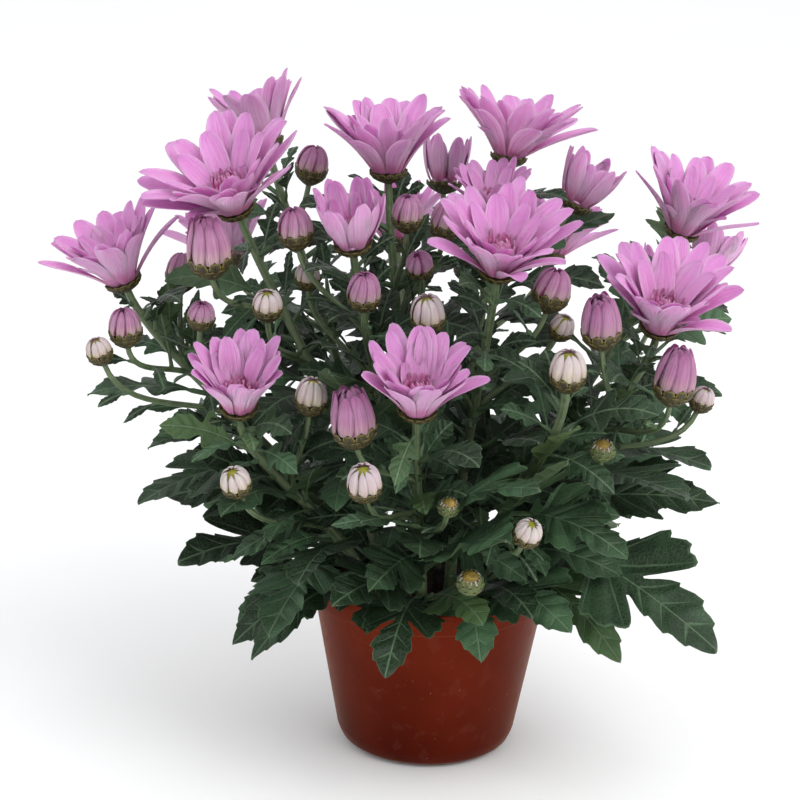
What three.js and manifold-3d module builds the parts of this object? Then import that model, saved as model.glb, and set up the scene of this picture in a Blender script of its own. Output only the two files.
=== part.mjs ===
// A pot-grown pink chrysanthemum in a terracotta-coloured plastic pot, in millimetres, +Z up.
// The origin is the centre of the pot's underside. -Y is the side that faces the viewer.
// Every shoot is one leafy solid: its stem, side stalks, lobed leaves and the green cups under the heads.
// The petals of every open head and every bud are solids of their own, seated in those cups.
import * as THREE from "three";
import { mergeGeometries, mergeVertices } from "three/addons/utils/BufferGeometryUtils.js";
import Module from "manifold-3d";

const wasm = await Module();
wasm.setup();

// Driving dimensions of the pot and its soil
const POT_HEIGHT = 94;
const RIM_RADIUS = 64;
const COLLAR_RADIUS = 62.6;
const BODY_TOP_RADIUS = 61.4;
const COLLAR_DEPTH = 12;
const LIP_DEPTH = 3.5;
const SHOULDER_RADIUS = 48;
const SHOULDER_HEIGHT = 9;
const FOOT_RADIUS = 40;
const WALL = 1.8;
const FLOOR = 2.2;
const POT_SIDES = 24;
const DRAIN_HOLES = 4;
const DRAIN_RADIUS = 4;
const DRAIN_SIDES = 6;
const DRAIN_CIRCLE = 29;
const SOIL_LEVEL = 83;
const SOIL_LUMP = 1.3;
const SEAT_GAP = 0.3;

// Driving dimensions of the plant
const STEM_FOOT_RADIUS = 2.9;
const STEM_NECK_RADIUS = 1.9;
const STALK_RADIUS = 1.5;
const STEM_SIDES = 5;
const STALK_SIDES = 3;
const BURIED = 14;
const STUB_TOP = 2.5;
const STEM_LEAN = 0.16;
const SLIVER = 0.15;

// Cups under the heads: a bloom's in millimetres, a bud's as shares of its size
const BLOOM_CUP = { radius: 9.5, height: 5, sides: 8 };
const BUD_CUP = { wide: 0.98, tall: 0.85, sides: 6 };
const CUP_ROOT = 1.6;
const CUP_DISH = 1.4;
const CUP_TOOTH = 0.9;

// Petals. A head steeper than HALF_OPEN_RISE is half open. Angles are in radians.
// foot: how much steeper than the head's rise a petal starts. bend: how much its rise changes on the way.
const HALF_OPEN_RISE = 1.15;
const OPEN = { outer: 9, inner: 4, foot: 0.28, bend: -0.46, spread: 0.2 };
const HALF_OPEN = { outer: 6, inner: 3, foot: -0.25, bend: 0.5, spread: 0.06 };
const OUTER_START = 5.6;
const INNER_START = 3;
const INNER_SHARE = 0.54;
const INNER_STEEPER = 0.3;
const STEEPEST = 1.3;
const CORE_RADIUS = 8.6;
const CORE_SIDES = 5;
const CORE_SHARE = 0.1;
const PETAL_WIDTH = 0.33;
const PETAL_KEEL = 0.7;

// Buds, by their size: how tall their petals stand over the cup, in widest radii
const LARGE_BUD = { from: 9.9, tall: 1.9 };
const MIDDLE_BUD = { from: 7.9, tall: 1.42 };
const SMALL_BUD_TALL = 1.15;
const BUD_RIB = 0.06;

// Down a petal, as shares of its length, its width and its keel's depth
const PETAL_ROWS = [
  { s: 0, half: 0, thick: 0 },
  { s: 0.02, half: 0.1, thick: 0.8 },
  { s: 0.62, half: 0.54, thick: 1 },
  { s: 1, half: 0, thick: 0 },
];

// Leaves. The rule's leaves get shorter up the stem. Each leaf takes the first bend that keeps it clear.
const LEAF_THICKNESS = 1.3;
const PETIOLE = 0.32;
const PETIOLE_HALF = 1.1;
const LEAF_FOLD = 0.16;
const LEAF_TILT = 0.4;
const LEAF_FACING = 0.55;
const LOWEST_LEAF = 0.12;
const LEAFY_SHARE = 0.76;
const LOW_LEAF = 92;
const LEAF_LOSS = 46;
const LOW_RISE = -0.12;
const RISE_GAIN = 0.6;
const TURN_STEP = 2 * Math.PI * 0.4;
const FIRST_LEAF_SEED = 100;
const CLEARANCE = 0.5;
const LEAF_SIZES = [1, 0.82];
const LEAF_LIFTS = [0, 0.2, -0.2, 0.4];
const LEAF_SWINGS = [0, 0.24, -0.24, 0.48, -0.48, 0.8, -0.8];

// Half of the lobed leaf edge, from the foot of the blade to its tip, in blade lengths.
// rib: where the row leaves the midrib. along, out: where it meets the edge.
const LEAF_EDGE = [
  { rib: 0.0, along: 0.0, out: 0.02 },
  { rib: 0.06, along: 0.14, out: 0.21 },
  { rib: 0.16, along: 0.24, out: 0.11 },
  { rib: 0.25, along: 0.4, out: 0.33 },
  { rib: 0.38, along: 0.64, out: 0.28 },
  { rib: 0.48, along: 0.54, out: 0.1 },
  { rib: 0.66, along: 0.82, out: 0.16 },
  { rib: 1.0, along: 1.0, out: 0.0 },
];
// Small leaves under the heads have one pair of lobes
const SMALL_LEAF_EDGE = [
  { rib: 0.0, along: 0.0, out: 0.03 },
  { rib: 0.2, along: 0.36, out: 0.27 },
  { rib: 0.38, along: 0.46, out: 0.12 },
  { rib: 0.62, along: 0.78, out: 0.17 },
  { rib: 1.0, along: 1.0, out: 0.0 },
];
const SMALL_LEAF_LENGTH = 60;

// Shoots. foot: where the stem leaves the soil. ruledLeaves: how many leaves the rule tries on it.
// The first head ends the stem. The others stand on stalks that branch off at leave, a share of its length.
// neck: where the green cup starts. lean: sideways and forward tilt of the head's axis.
// A bud's size is its widest radius. A bloom's size is the length of its petals. rise: how steep they stand.
// chosenLeaves stand where the eye looks first. on: a share of the stem's length. tip: where the leaf ends.
// greenBuds are tight buds that are still closed, fused to their shoot.
const SHOOTS = [
  {
    name: "shoot_far_left",
    foot: [-36, -6],
    ruledLeaves: 6,
    heads: [
      { name: "bloom_far_left", neck: [-158, -20, 250], lean: [-0.36, -0.2], size: 39, rise: 0.7 },
      { name: "bud_under_far_left", neck: [-155, -42, 226], lean: [-0.1, -0.15], size: 8.5, leave: 0.66 },
      { name: "bud_left_of_centre", neck: [-133, 2, 244], lean: [0.05, 0.1], size: 8.5, leave: 0.66 },
      { name: "bud_far_left_small", neck: [-166, -50, 219], lean: [-0.3, -0.25], size: 6.5, leave: 0.5 },
      { name: "bud_left_purple", neck: [-118, -50, 238], lean: [0.1, -0.3], size: 7, leave: 0.56 },
    ],
    greenBuds: [],
    chosenLeaves: [
      { on: 0.1, tip: [-129, -56, 116], arch: 20, broad: 0.9 },
      { on: 0.36, tip: [-150, -50, 146], arch: 16, broad: 1 },
      { on: 0.6, tip: [-177, -34, 200], arch: 8, broad: 0.9 },
      { on: 0.48, tip: [-137, -62, 186], arch: 8, broad: 0.9 },
      { on: 0.22, tip: [-140, 0, 132], arch: 18, broad: 1 },
      { on: 0.7, tip: [-152, -8, 236], arch: 6, broad: 0.9 },
    ],
  },
  {
    name: "shoot_left",
    foot: [-24, -12],
    ruledLeaves: 6,
    heads: [
      { name: "bloom_left", neck: [-101, -25, 290], lean: [-0.34, -0.42], size: 48, rise: 0.52 },
      { name: "bud_left_large", neck: [-112, -52, 265], lean: [-0.1, -0.25], size: 11.5, leave: 0.66 },
      { name: "bud_left_white", neck: [-84, -60, 246], lean: [0, -0.3], size: 7.5, leave: 0.52 },
    ],
    greenBuds: [],
    chosenLeaves: [
      { on: 0.3, tip: [-96, -98, 142], arch: 18, broad: 1 },
      { on: 0.56, tip: [-129, -24, 219], arch: 8, broad: 0.9 },
    ],
  },
  {
    name: "shoot_back_left",
    foot: [-26, 18],
    ruledLeaves: 6,
    heads: [
      { name: "bloom_back_left", neck: [-91, 45, 311], lean: [-0.3, 0.1], size: 36, rise: 0.85 },
      { name: "bloom_back_far_left", neck: [-112, 84, 238], lean: [-0.35, 0.4], size: 36, rise: 0.8, leave: 0.5 },
      { name: "bud_back_left_pink", neck: [-68, 14, 300], lean: [0.15, -0.1], size: 8.5, leave: 0.74 },
    ],
    greenBuds: [{ neck: [-132, 46, 196], lean: [-0.4, 0.2], size: 6, leave: 0.4 }],
    chosenLeaves: [],
  },
  {
    name: "shoot_left_centre",
    foot: [-12, -18],
    ruledLeaves: 6,
    heads: [
      { name: "bloom_left_centre", neck: [-43, -50, 279], lean: [-0.1, -0.42], size: 33, rise: 1.2 },
      { name: "bud_left_centre_pink", neck: [-70, -46, 279], lean: [-0.15, -0.2], size: 9, leave: 0.7 },
      { name: "bud_inner_white", neck: [-66, -30, 255], lean: [0, -0.3], size: 6.5, leave: 0.55 },
      { name: "bud_inner_pink", neck: [-37, -66, 254], lean: [0, -0.35], size: 8.5, leave: 0.62 },
    ],
    greenBuds: [],
    chosenLeaves: [
      { on: 0.3, tip: [-72, -104, 196], arch: 8, broad: 0.9 },
    ],
  },
  {
    name: "shoot_centre",
    foot: [-6, 4],
    ruledLeaves: 6,
    heads: [
      { name: "bloom_top", neck: [-27, 0, 305], lean: [-0.04, -0.08], size: 41, rise: 0.68 },
      { name: "bud_centre_pink", neck: [-17, -32, 286], lean: [0, -0.2], size: 8, leave: 0.68 },
      { name: "bud_centre_tall", neck: [1, -27, 281], lean: [0.1, -0.1], size: 8, leave: 0.6 },
      { name: "bud_centre_small", neck: [-9, -34, 264], lean: [-0.2, -0.6], size: 7, leave: 0.54 },
    ],
    greenBuds: [],
    chosenLeaves: [
      { on: 0.62, tip: [18, -50, 240], arch: 6, broad: 0.9 },
    ],
  },
  {
    name: "shoot_right_centre",
    foot: [10, -16],
    ruledLeaves: 6,
    heads: [
      { name: "bloom_right_centre", neck: [27, -65, 271], lean: [0.06, -0.42], size: 42, rise: 0.66 },
      { name: "bud_right_of_centre", neck: [52, -60, 254], lean: [0.2, -0.1], size: 9.5, leave: 0.6 },
      { name: "bud_centre_cream", neck: [-5, -72, 245], lean: [-0.1, -0.3], size: 8.5, leave: 0.5 },
      { name: "bud_right_white", neck: [58, -50, 238], lean: [0.4, -0.4], size: 6.3, leave: 0.5 },
    ],
    greenBuds: [],
    chosenLeaves: [
      { on: 0.36, tip: [48, -104, 202], arch: 12, broad: 1 },
      { on: 0.6, tip: [22, -90, 222], arch: 6, broad: 0.9 },
    ],
  },
  {
    name: "shoot_back_right",
    foot: [12, 16],
    ruledLeaves: 7,
    heads: [
      { name: "bloom_top_right", neck: [34, 25, 310], lean: [0.14, 0.02], size: 42, rise: 0.6 },
      { name: "bloom_behind_centre", neck: [26, -1, 286], lean: [0, -0.25], size: 27, rise: 0.9, leave: 0.72 },
      { name: "bloom_slim_centre", neck: [2, 52, 290], lean: [0.05, 0.2], size: 27, rise: 1.32, leave: 0.66 },
      { name: "bloom_half_right", neck: [68, 26, 287], lean: [0.5, 0], size: 29, rise: 1.18, leave: 0.62 },
    ],
    greenBuds: [],
    chosenLeaves: [
      { on: 0.72, tip: [92, 34, 284], arch: 6, broad: 0.8 },
    ],
  },
  {
    name: "shoot_far_right",
    foot: [32, 6],
    ruledLeaves: 6,
    heads: [
      { name: "bloom_far_right", neck: [123, 10, 277], lean: [0.28, -0.25], size: 40, rise: 0.7 },
      { name: "bloom_slim_right", neck: [142, 42, 250], lean: [0.4, 0.35], size: 26, rise: 1.2, leave: 0.62 },
      { name: "bloom_back_far_right", neck: [122, 84, 216], lean: [0.4, 0.4], size: 35, rise: 0.78, leave: 0.42 },
    ],
    greenBuds: [],
    chosenLeaves: [
      { on: 0.5, tip: [146, -24, 205], arch: 10, broad: 0.9 },
      { on: 0.72, tip: [150, 4, 228], arch: 10, broad: 0.8 },
      { on: 0.62, tip: [128, 42, 262], arch: 6, broad: 0.8 },
      { on: 0.24, tip: [138, -6, 140], arch: 16, broad: 1 },
      { on: 0.34, tip: [140, -44, 170], arch: 14, broad: 1 },
    ],
  },
  {
    name: "shoot_right",
    foot: [28, -16],
    ruledLeaves: 7,
    heads: [
      { name: "bloom_right", neck: [108, -50, 241], lean: [0.1, -0.42], size: 43, rise: 0.7 },
      { name: "bud_right_pink", neck: [78, -82, 242], lean: [-0.1, -0.25], size: 10, leave: 0.6 },
      { name: "bud_right_purple", neck: [112, -86, 216], lean: [0.1, -0.15], size: 10.5, leave: 0.55 },
      { name: "bud_far_right_white", neck: [130, -52, 203], lean: [0.3, -0.2], size: 6, leave: 0.45 },
    ],
    greenBuds: [{ neck: [80, -90, 190], lean: [0, -0.4], size: 6, leave: 0.34 }],
    chosenLeaves: [
      { on: 0.24, tip: [141, -97, 92], arch: 16, broad: 1.05 },
      { on: 0.42, tip: [152, -74, 177], arch: 10, broad: 1.05 },
      { on: 0.1, tip: [96, -76, 76], arch: 26, broad: 1 },
      { on: 0.3, tip: [98, -108, 152], arch: 12, broad: 0.9 },
      { on: 0.5, tip: [74, -92, 210], arch: 8, broad: 0.9 },
    ],
  },
  {
    name: "shoot_front",
    foot: [-4, -36],
    ruledLeaves: 6,
    heads: [
      { name: "bloom_front", neck: [-10, -105, 212], lean: [0.02, -0.42], size: 38, rise: 0.86 },
      { name: "bud_front_opening", neck: [-38, -110, 198], lean: [-0.15, -0.2], size: 11, leave: 0.6 },
      { name: "bud_low_front_white", neck: [-33, -126, 178], lean: [-0.1, -0.5], size: 8.3, leave: 0.4 },
    ],
    greenBuds: [{ neck: [6, -108, 166], lean: [0.1, -0.5], size: 5, leave: 0.3 }],
    chosenLeaves: [
      { on: 0.05, tip: [-22, -118, 84], arch: 26, broad: 1 },
      { on: 0.46, tip: [48, -128, 186], arch: 8, broad: 0.8 },
      { on: 0.34, tip: [-72, -120, 172], arch: 8, broad: 0.7 },
      { on: 0.16, tip: [34, -134, 140], arch: 14, broad: 1 },
      { on: 0.1, tip: [-28, -124, 140], arch: 14, broad: 1 },
    ],
  },
  {
    name: "shoot_front_left",
    foot: [-28, -30],
    ruledLeaves: 7,
    heads: [
      { name: "bloom_front_left", neck: [-96, -85, 205], lean: [0.02, -0.42], size: 34, rise: 0.96 },
      { name: "bud_front_left_white", neck: [-62, -85, 206], lean: [0.1, -0.2], size: 8, leave: 0.5 },
      { name: "bud_low_left_white", neck: [-94, -102, 170], lean: [-0.25, -0.5], size: 7.5, leave: 0.3 },
    ],
    greenBuds: [],
    chosenLeaves: [
      { on: 0.05, tip: [-50, -116, 118], arch: 14, broad: 1 },
      { on: 0.1, tip: [-90, -78, 74], arch: 24, broad: 0.9 },
      { on: 0.3, tip: [-118, -74, 184], arch: 10, broad: 1 },
      { on: 0.08, tip: [-62, -100, 88], arch: 24, broad: 1 },
    ],
  },
  {
    name: "shoot_front_right",
    foot: [16, -36],
    ruledLeaves: 8,
    heads: [
      { name: "bud_front_right", neck: [61, -95, 224], lean: [0, -0.25], size: 9 },
      { name: "bud_low_right_white", neck: [42, -117, 154], lean: [0.3, -0.5], size: 6.8, leave: 0.35 },
    ],
    greenBuds: [{ neck: [18, -104, 126], lean: [0, -0.6], size: 6.5, leave: 0.22 }],
    chosenLeaves: [
      { on: 0.1, tip: [68, -104, 104], arch: 18, broad: 1.1 },
      { on: 0.05, tip: [6, -112, 92], arch: 20, broad: 1.05 },
      { on: 0.4, tip: [92, -118, 150], arch: 14, broad: 0.9 },
      { on: 0.56, tip: [40, -122, 214], arch: 8, broad: 0.8 },
      { on: 0.06, tip: [32, -112, 96], arch: 22, broad: 1 },
      { on: 0.3, tip: [62, -116, 178], arch: 10, broad: 0.9 },
    ],
  },
  {
    name: "shoot_back",
    foot: [4, 36],
    ruledLeaves: 6,
    heads: [
      { name: "bloom_back", neck: [-22, 112, 244], lean: [-0.1, 0.4], size: 38, rise: 0.74 },
      { name: "bloom_back_right", neck: [62, 108, 240], lean: [0.25, 0.4], size: 37, rise: 0.72, leave: 0.45 },
      { name: "bud_back_pink", neck: [18, 126, 224], lean: [0.1, 0.4], size: 8.5, leave: 0.5 },
    ],
    greenBuds: [{ neck: [-62, 118, 196], lean: [-0.3, 0.4], size: 6, leave: 0.4 }],
    chosenLeaves: [],
  },
];

const COLOURS = {
  pot: { color: 0x8f3a24, roughness: 0.45, metalness: 0 },
  soil: { color: 0x2a1d15, roughness: 1, metalness: 0 },
  green: { color: 0x2f5239, roughness: 0.65, metalness: 0 },
  pink: { color: 0xd98bd0, roughness: 0.55, metalness: 0 },
  bud: { color: 0xe2b6cf, roughness: 0.6, metalness: 0 },
};

const UP = new THREE.Vector3(0, 0, 1);
const AWAY = new THREE.Vector3(0, 1, 0);
const vec = (p) => new THREE.Vector3(...p);

// A seeded sequence of draws: each call gives a number between low and high
function seededDraws(seed) {
  let state = (seed * 2654435761) % 4294967296;
  return (low, high) => {
    state = (state * 1664525 + 1013904223) % 4294967296;
    return low + ((high - low) * state) / 4294967296;
  };
}

// A closed geometry as a solid, without the triangles that fold to nothing at its tips
function solidOf(geometry) {
  const bare = new THREE.BufferGeometry().setAttribute("position", geometry.getAttribute("position"));
  bare.setIndex(geometry.index);
  const merged = mergeVertices(bare, 1e-3);
  const index = merged.index.array;
  const kept = [];
  for (let i = 0; i < index.length; i += 3) {
    const [a, b, c] = [index[i], index[i + 1], index[i + 2]];
    if (a !== b && b !== c && c !== a) kept.push(a, b, c);
  }
  const vertProperties = merged.attributes.position.array;
  const build = (corners) =>
    new wasm.Manifold(new wasm.Mesh({ numProp: 3, vertProperties, triVerts: new Uint32Array(corners) }));
  const made = build(kept);
  if (made.volume() > 0) return made;
  for (let i = 0; i < kept.length; i += 3) [kept[i + 1], kept[i + 2]] = [kept[i + 2], kept[i + 1]];
  return build(kept);
}

const joined = (solids) => wasm.Manifold.union(solids);

// The largest body of a fused solid, without the slivers that crossing faces leave
function mainBody(solid) {
  const bodies = solid.asOriginal().simplify(SLIVER).decompose();
  return bodies.reduce((best, body) => (body.volume() > best.volume() ? body : best));
}

function meshOf(name, solid, look) {
  const { numProp, vertProperties, triVerts } = solid.getMesh();
  const count = vertProperties.length / numProp;
  const position = new Float32Array(count * 3);
  for (let i = 0; i < count; i++) {
    position.set(vertProperties.subarray(i * numProp, i * numProp + 3), i * 3);
  }
  const geometry = new THREE.BufferGeometry();
  geometry.setAttribute("position", new THREE.BufferAttribute(position, 3));
  geometry.setIndex(new THREE.BufferAttribute(new Uint32Array(triVerts), 1));
  geometry.computeVertexNormals();
  const mesh = new THREE.Mesh(geometry, new THREE.MeshStandardMaterial({ ...look, flatShading: true }));
  mesh.name = name;
  return mesh;
}

// Three directions of a head: its axis, and two across it
function headFrame(lean) {
  const axis = new THREE.Vector3(lean[0], lean[1], 1).normalize();
  const across = new THREE.Vector3().crossVectors(AWAY, axis).normalize();
  const away = new THREE.Vector3().crossVectors(axis, across);
  return { axis, across, away };
}

// A lathed solid stood on a point along a leaning axis. ring(side, row) gives how it grows and lifts there.
function turned(profile, sides, foot, lean, ring = () => [1, 0]) {
  const geometry = new THREE.LatheGeometry(profile.map((p) => new THREE.Vector2(...p)), sides);
  const { axis, across, away } = headFrame(lean);
  const position = geometry.attributes.position;
  for (let i = 0; i < position.count; i++) {
    const side = Math.floor(i / profile.length) % sides;
    const [grow, lift] = ring(side, i % profile.length);
    const point = foot
      .clone()
      .addScaledVector(across, position.getX(i) * grow)
      .addScaledVector(away, -position.getZ(i) * grow)
      .addScaledVector(axis, position.getY(i) + lift);
    position.setXYZ(i, point.x, point.y, point.z);
  }
  return solidOf(geometry);
}

// An upright prism on the pot's own axes
function post(x, y, foot, top, radius, sides) {
  const profile = [
    [0, 0],
    [radius, 0],
    [radius, top - foot],
    [0, top - foot],
  ];
  return turned(profile, sides, vec([x, y, foot]), [0, 0]);
}

// A round tapered stalk along a curve
function stalk(curve, startRadius, endRadius, sides, steps) {
  const geometry = new THREE.CylinderGeometry(1, 1, 1, sides, steps);
  const position = geometry.attributes.position;
  for (let i = 0; i < position.count; i++) {
    const s = 0.5 - position.getY(i);
    const point = curve.getPoint(s);
    const heading = curve.getTangent(s);
    const side = new THREE.Vector3().crossVectors(heading, AWAY).normalize();
    const front = new THREE.Vector3().crossVectors(side, heading);
    const radius = startRadius + (endRadius - startRadius) * s;
    point.addScaledVector(side, position.getX(i) * radius);
    point.addScaledVector(front, position.getZ(i) * radius);
    position.setXYZ(i, point.x, point.y, point.z);
  }
  return solidOf(geometry);
}

// A thin blade: two sheets, cut into triangles alike, that meet at their edges and part along the middle.
// section(row, place) gives the point there, the direction through the blade and its thickness.
function blade(rows, section) {
  const sheets = [1, -1].map((face) => {
    const sheet = new THREE.PlaneGeometry(1, 1, 2, rows);
    sheet.deleteAttribute("normal");
    sheet.deleteAttribute("uv");
    const position = sheet.attributes.position;
    for (let i = 0; i < position.count; i++) {
      const row = Math.round((0.5 - position.getY(i)) * rows);
      const place = Math.round(position.getX(i) * 2);
      const { point, through, thickness } = section(row, place);
      if (place === 0) point.addScaledVector(through, (face * thickness) / 2);
      position.setXYZ(i, point.x, point.y, point.z);
    }
    if (face < 0) sheet.index.array.reverse();
    return sheet;
  });
  return solidOf(mergeGeometries(sheets));
}

const isBud = (head) => head.rise === undefined;

// The green cup under a head: a dished bowl with a rim of bract tips
const cupRadius = (head) => (isBud(head) ? head.size * BUD_CUP.wide : BLOOM_CUP.radius);
const cupHeight = (head) => (isBud(head) ? head.size * BUD_CUP.tall : BLOOM_CUP.height);

function cup(head) {
  const radius = cupRadius(head);
  const height = cupHeight(head);
  const profile = [
    [0, -CUP_ROOT],
    [radius * 0.66, height * 0.2],
    [radius, height],
    [0, height - CUP_DISH],
  ];
  const teeth = (side, row) => [1, row === 2 ? (side % 2 ? CUP_TOOTH : -CUP_TOOTH) : 0];
  return turned(profile, isBud(head) ? BUD_CUP.sides : BLOOM_CUP.sides, vec(head.neck), head.lean, teeth);
}

// How high something may start over the cup's dish at a distance from its axis, with the seat gap left
function overDish(head, distance) {
  const slope = (CUP_DISH + CUP_TOOTH) / cupRadius(head);
  return cupHeight(head) - CUP_DISH + slope * distance + SEAT_GAP * 1.3;
}

// One petal of a head, a shallow boat with its keel below. It starts at a distance from the axis and climbs at
// an angle that bend changes.
function petal(head, { turn, rise, bend, long, wide, start, lift, cupped }) {
  const { axis, across, away } = headFrame(head.lean);
  const out = across.clone().multiplyScalar(Math.cos(turn)).addScaledVector(away, Math.sin(turn));
  const side = new THREE.Vector3().crossVectors(axis, out);
  const steps = PETAL_ROWS.length - 1;
  const geometry = new THREE.CylinderGeometry(1, 1, 1, 3, steps);
  const position = geometry.attributes.position;
  for (let i = 0; i < position.count; i++) {
    const { s, half, thick } = PETAL_ROWS[Math.round((0.5 - position.getY(i)) * steps)];
    const edge = Math.round(position.getX(i));
    const angle = rise + bend * s;
    const reach = (Math.sin(angle) - Math.sin(rise)) / bend;
    const climb = (Math.cos(rise) - Math.cos(angle)) / bend;
    const through = axis.clone().multiplyScalar(Math.cos(angle)).addScaledVector(out, -Math.sin(angle));
    const point = vec(head.neck)
      .addScaledVector(axis, lift + long * climb)
      .addScaledVector(out, start + long * reach)
      .addScaledVector(side, edge * half * wide)
      .addScaledVector(through, edge ? half * wide * cupped : -PETAL_KEEL * thick);
    position.setXYZ(i, point.x, point.y, point.z);
  }
  return solidOf(geometry);
}

// The petals of a head, in two rings round a core that ends in a pointed tuft
function openHead(head, seed) {
  const draw = seededDraws(seed);
  const plan = head.rise > HALF_OPEN_RISE ? HALF_OPEN : OPEN;
  const seat = cupHeight(head);
  const core = [
    [0, overDish(head, 0)],
    [CORE_RADIUS, overDish(head, CORE_RADIUS)],
    [0, seat + 4 + head.size * CORE_SHARE],
  ];
  const pieces = [turned(core, CORE_SIDES, vec(head.neck), head.lean)];
  const ring = (count, share, rise, widening, start, lift, shift) => {
    for (let i = 0; i < count; i++) {
      pieces.push(
        petal(head, {
          turn: ((i + shift) / count) * 2 * Math.PI + draw(-0.09, 0.09),
          rise: rise + plan.foot + draw(-plan.spread, plan.spread),
          long: head.size * share * draw(0.92, 1.08),
          bend: plan.bend + draw(-0.09, 0.09),
          wide: head.size * PETAL_WIDTH * widening * draw(0.92, 1.08),
          cupped: draw(0.1, 0.2),
          start,
          lift,
        }),
      );
    }
  };
  const innerRise = Math.min(head.rise + INNER_STEEPER, STEEPEST);
  ring(plan.outer, 1, head.rise, 1, OUTER_START, seat + 1.3, 0);
  ring(plan.inner, INNER_SHARE, innerRise, 0.85, INNER_START, seat + 3, 0.5);
  return mainBody(joined(pieces));
}

// The closed petals of a bud: a ribbed dome that sits in the dish of its cup
function closedBud(head) {
  const r = head.size;
  const seat = overDish(head, r);
  const share = [LARGE_BUD, MIDDLE_BUD].find(({ from }) => r > from)?.tall ?? SMALL_BUD_TALL;
  const tall = r * share;
  const profile = [
    [0, overDish(head, 0)],
    [r * 0.98, seat + 0.2],
    [r * 0.76, seat + tall * 0.72],
    [0, seat + tall],
  ];
  const ribs = (side, row) => [row > 0 ? 1 + (side % 2 ? BUD_RIB : -BUD_RIB) : 1, 0];
  return turned(profile, 8, vec(head.neck), head.lean, ribs);
}

// A tight green bud, all bracts
function greenBud(head) {
  const r = head.size;
  const profile = [
    [0, -CUP_ROOT],
    [r * 0.72, r * 0.22],
    [r, r * 0.9],
    [r * 0.6, r * 1.5],
    [0, r * 1.62],
  ];
  const teeth = (side, row) => [1, row === 2 ? (side % 2 ? 0.5 : -0.5) : 0];
  return turned(profile, BUD_CUP.sides, vec(head.neck), head.lean, teeth);
}

// The stem of a shoot, from its foot in the soil to the neck of its first head
function stemCurve(shoot) {
  const [head] = shoot.heads;
  const foot = vec([...shoot.foot, SOIL_LEVEL + STUB_TOP]);
  const neck = vec(head.neck);
  const tall = neck.z - foot.z;
  const low = foot.clone().lerp(neck, STEM_LEAN).setZ(foot.z + tall * 0.42);
  const high = neck.clone().addScaledVector(headFrame(head.lean).axis, -tall * 0.3);
  return new THREE.CubicBezierCurve3(foot, low, high, neck);
}

// A side stalk, from the stem to the neck of a head
function stalkCurve(stem, head) {
  const start = stem.getPoint(head.leave);
  const neck = vec(head.neck);
  const span = start.distanceTo(neck);
  const low = start.clone().addScaledVector(stem.getTangent(head.leave), span * 0.3);
  const high = neck.clone().addScaledVector(headFrame(head.lean).axis, -span * 0.4);
  return new THREE.CubicBezierCurve3(start, low, high, neck);
}

// One leaf, from a point in the stem to its tip, arched by arch millimetres and rolled about its run.
// It is rolled further so that its face tilts away from the plant's middle, and to the light at the front.
function leaf({ from, tip, arch, roll, broad }) {
  const middle = from.clone().lerp(tip, 0.5).addScaledVector(UP, arch);
  const lightwards = middle.clone().setZ(0).setLength(LEAF_TILT).addScaledVector(AWAY, -LEAF_FACING);
  const run = new THREE.QuadraticBezierCurve3(from, middle, tip);
  const long = from.distanceTo(tip) / (1 + PETIOLE);
  const edge = long < SMALL_LEAF_LENGTH ? SMALL_LEAF_EDGE : LEAF_EDGE;
  const rows = [
    { rib: -PETIOLE, along: -PETIOLE, out: 0, thick: 0 },
    { rib: 0.01 - PETIOLE, along: 0.01 - PETIOLE, out: PETIOLE_HALF / long, thick: 1 },
    ...edge.map((row) => ({ ...row, thick: row.rib < 1 ? 1 : 0 })),
  ];
  return blade(rows.length - 1, (row, place) => {
    const { rib, along, out, thick } = rows[row];
    const at = ((place === 0 ? rib : along) + PETIOLE) / (1 + PETIOLE);
    const heading = run.getTangent(at);
    const side = new THREE.Vector3().crossVectors(heading, UP).normalize();
    side.applyAxisAngle(heading, roll + side.dot(lightwards));
    const through = new THREE.Vector3().crossVectors(side, heading);
    const reach = place * out * long * (along < 0 ? 1 : broad);
    const point = run.getPoint(at).addScaledVector(side, reach);
    point.addScaledVector(through, Math.abs(reach) * LEAF_FOLD);
    return { point, through, thickness: LEAF_THICKNESS * thick };
  });
}

// The leaves that a shoot should bear: the chosen ones, then the rule's, a 2/5 turn apart going up the stem
function leafPlans(shoot, stem, seed) {
  const draw = seededDraws(seed);
  const chosen = shoot.chosenLeaves.map(({ on, tip, arch, broad }) => ({
    from: stem.getPoint(on),
    tip: vec(tip),
    arch,
    broad,
    roll: draw(-0.25, 0.25),
  }));
  const ruled = [];
  const firstTurn = draw(0, 2 * Math.PI);
  for (let i = 0; i < shoot.ruledLeaves; i++) {
    const on = LOWEST_LEAF + (LEAFY_SHARE * (i + draw(-0.2, 0.2))) / (shoot.ruledLeaves - 1);
    const turn = firstTurn + i * TURN_STEP + draw(-0.25, 0.25);
    const long = (LOW_LEAF - LEAF_LOSS * on) * draw(0.88, 1.1);
    const rise = LOW_RISE + RISE_GAIN * on + draw(-0.12, 0.12);
    const from = stem.getPoint(on);
    const flat = new THREE.Vector3(Math.cos(turn), Math.sin(turn), 0).multiplyScalar(long * Math.cos(rise));
    const tip = from.clone().add(flat).addScaledVector(UP, long * Math.sin(rise));
    ruled.push({ from, tip, arch: long * draw(0.16, 0.28), broad: draw(0.9, 1.1), roll: draw(-0.3, 0.3) });
  }
  return [...chosen, ...ruled];
}

// A leaf plan swung, lifted and shortened
function bent(plan, swing, lift, size) {
  const run = plan.tip.clone().sub(plan.from).multiplyScalar(size).applyAxisAngle(UP, swing);
  run.z += lift * run.length();
  return { ...plan, tip: plan.from.clone().add(run) };
}

function boxesNear(a, b) {
  const [p, q] = [a.boundingBox(), b.boundingBox()];
  return [0, 1, 2].every((k) => p.min[k] - 1 < q.max[k] && q.min[k] - 1 < p.max[k]);
}

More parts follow.
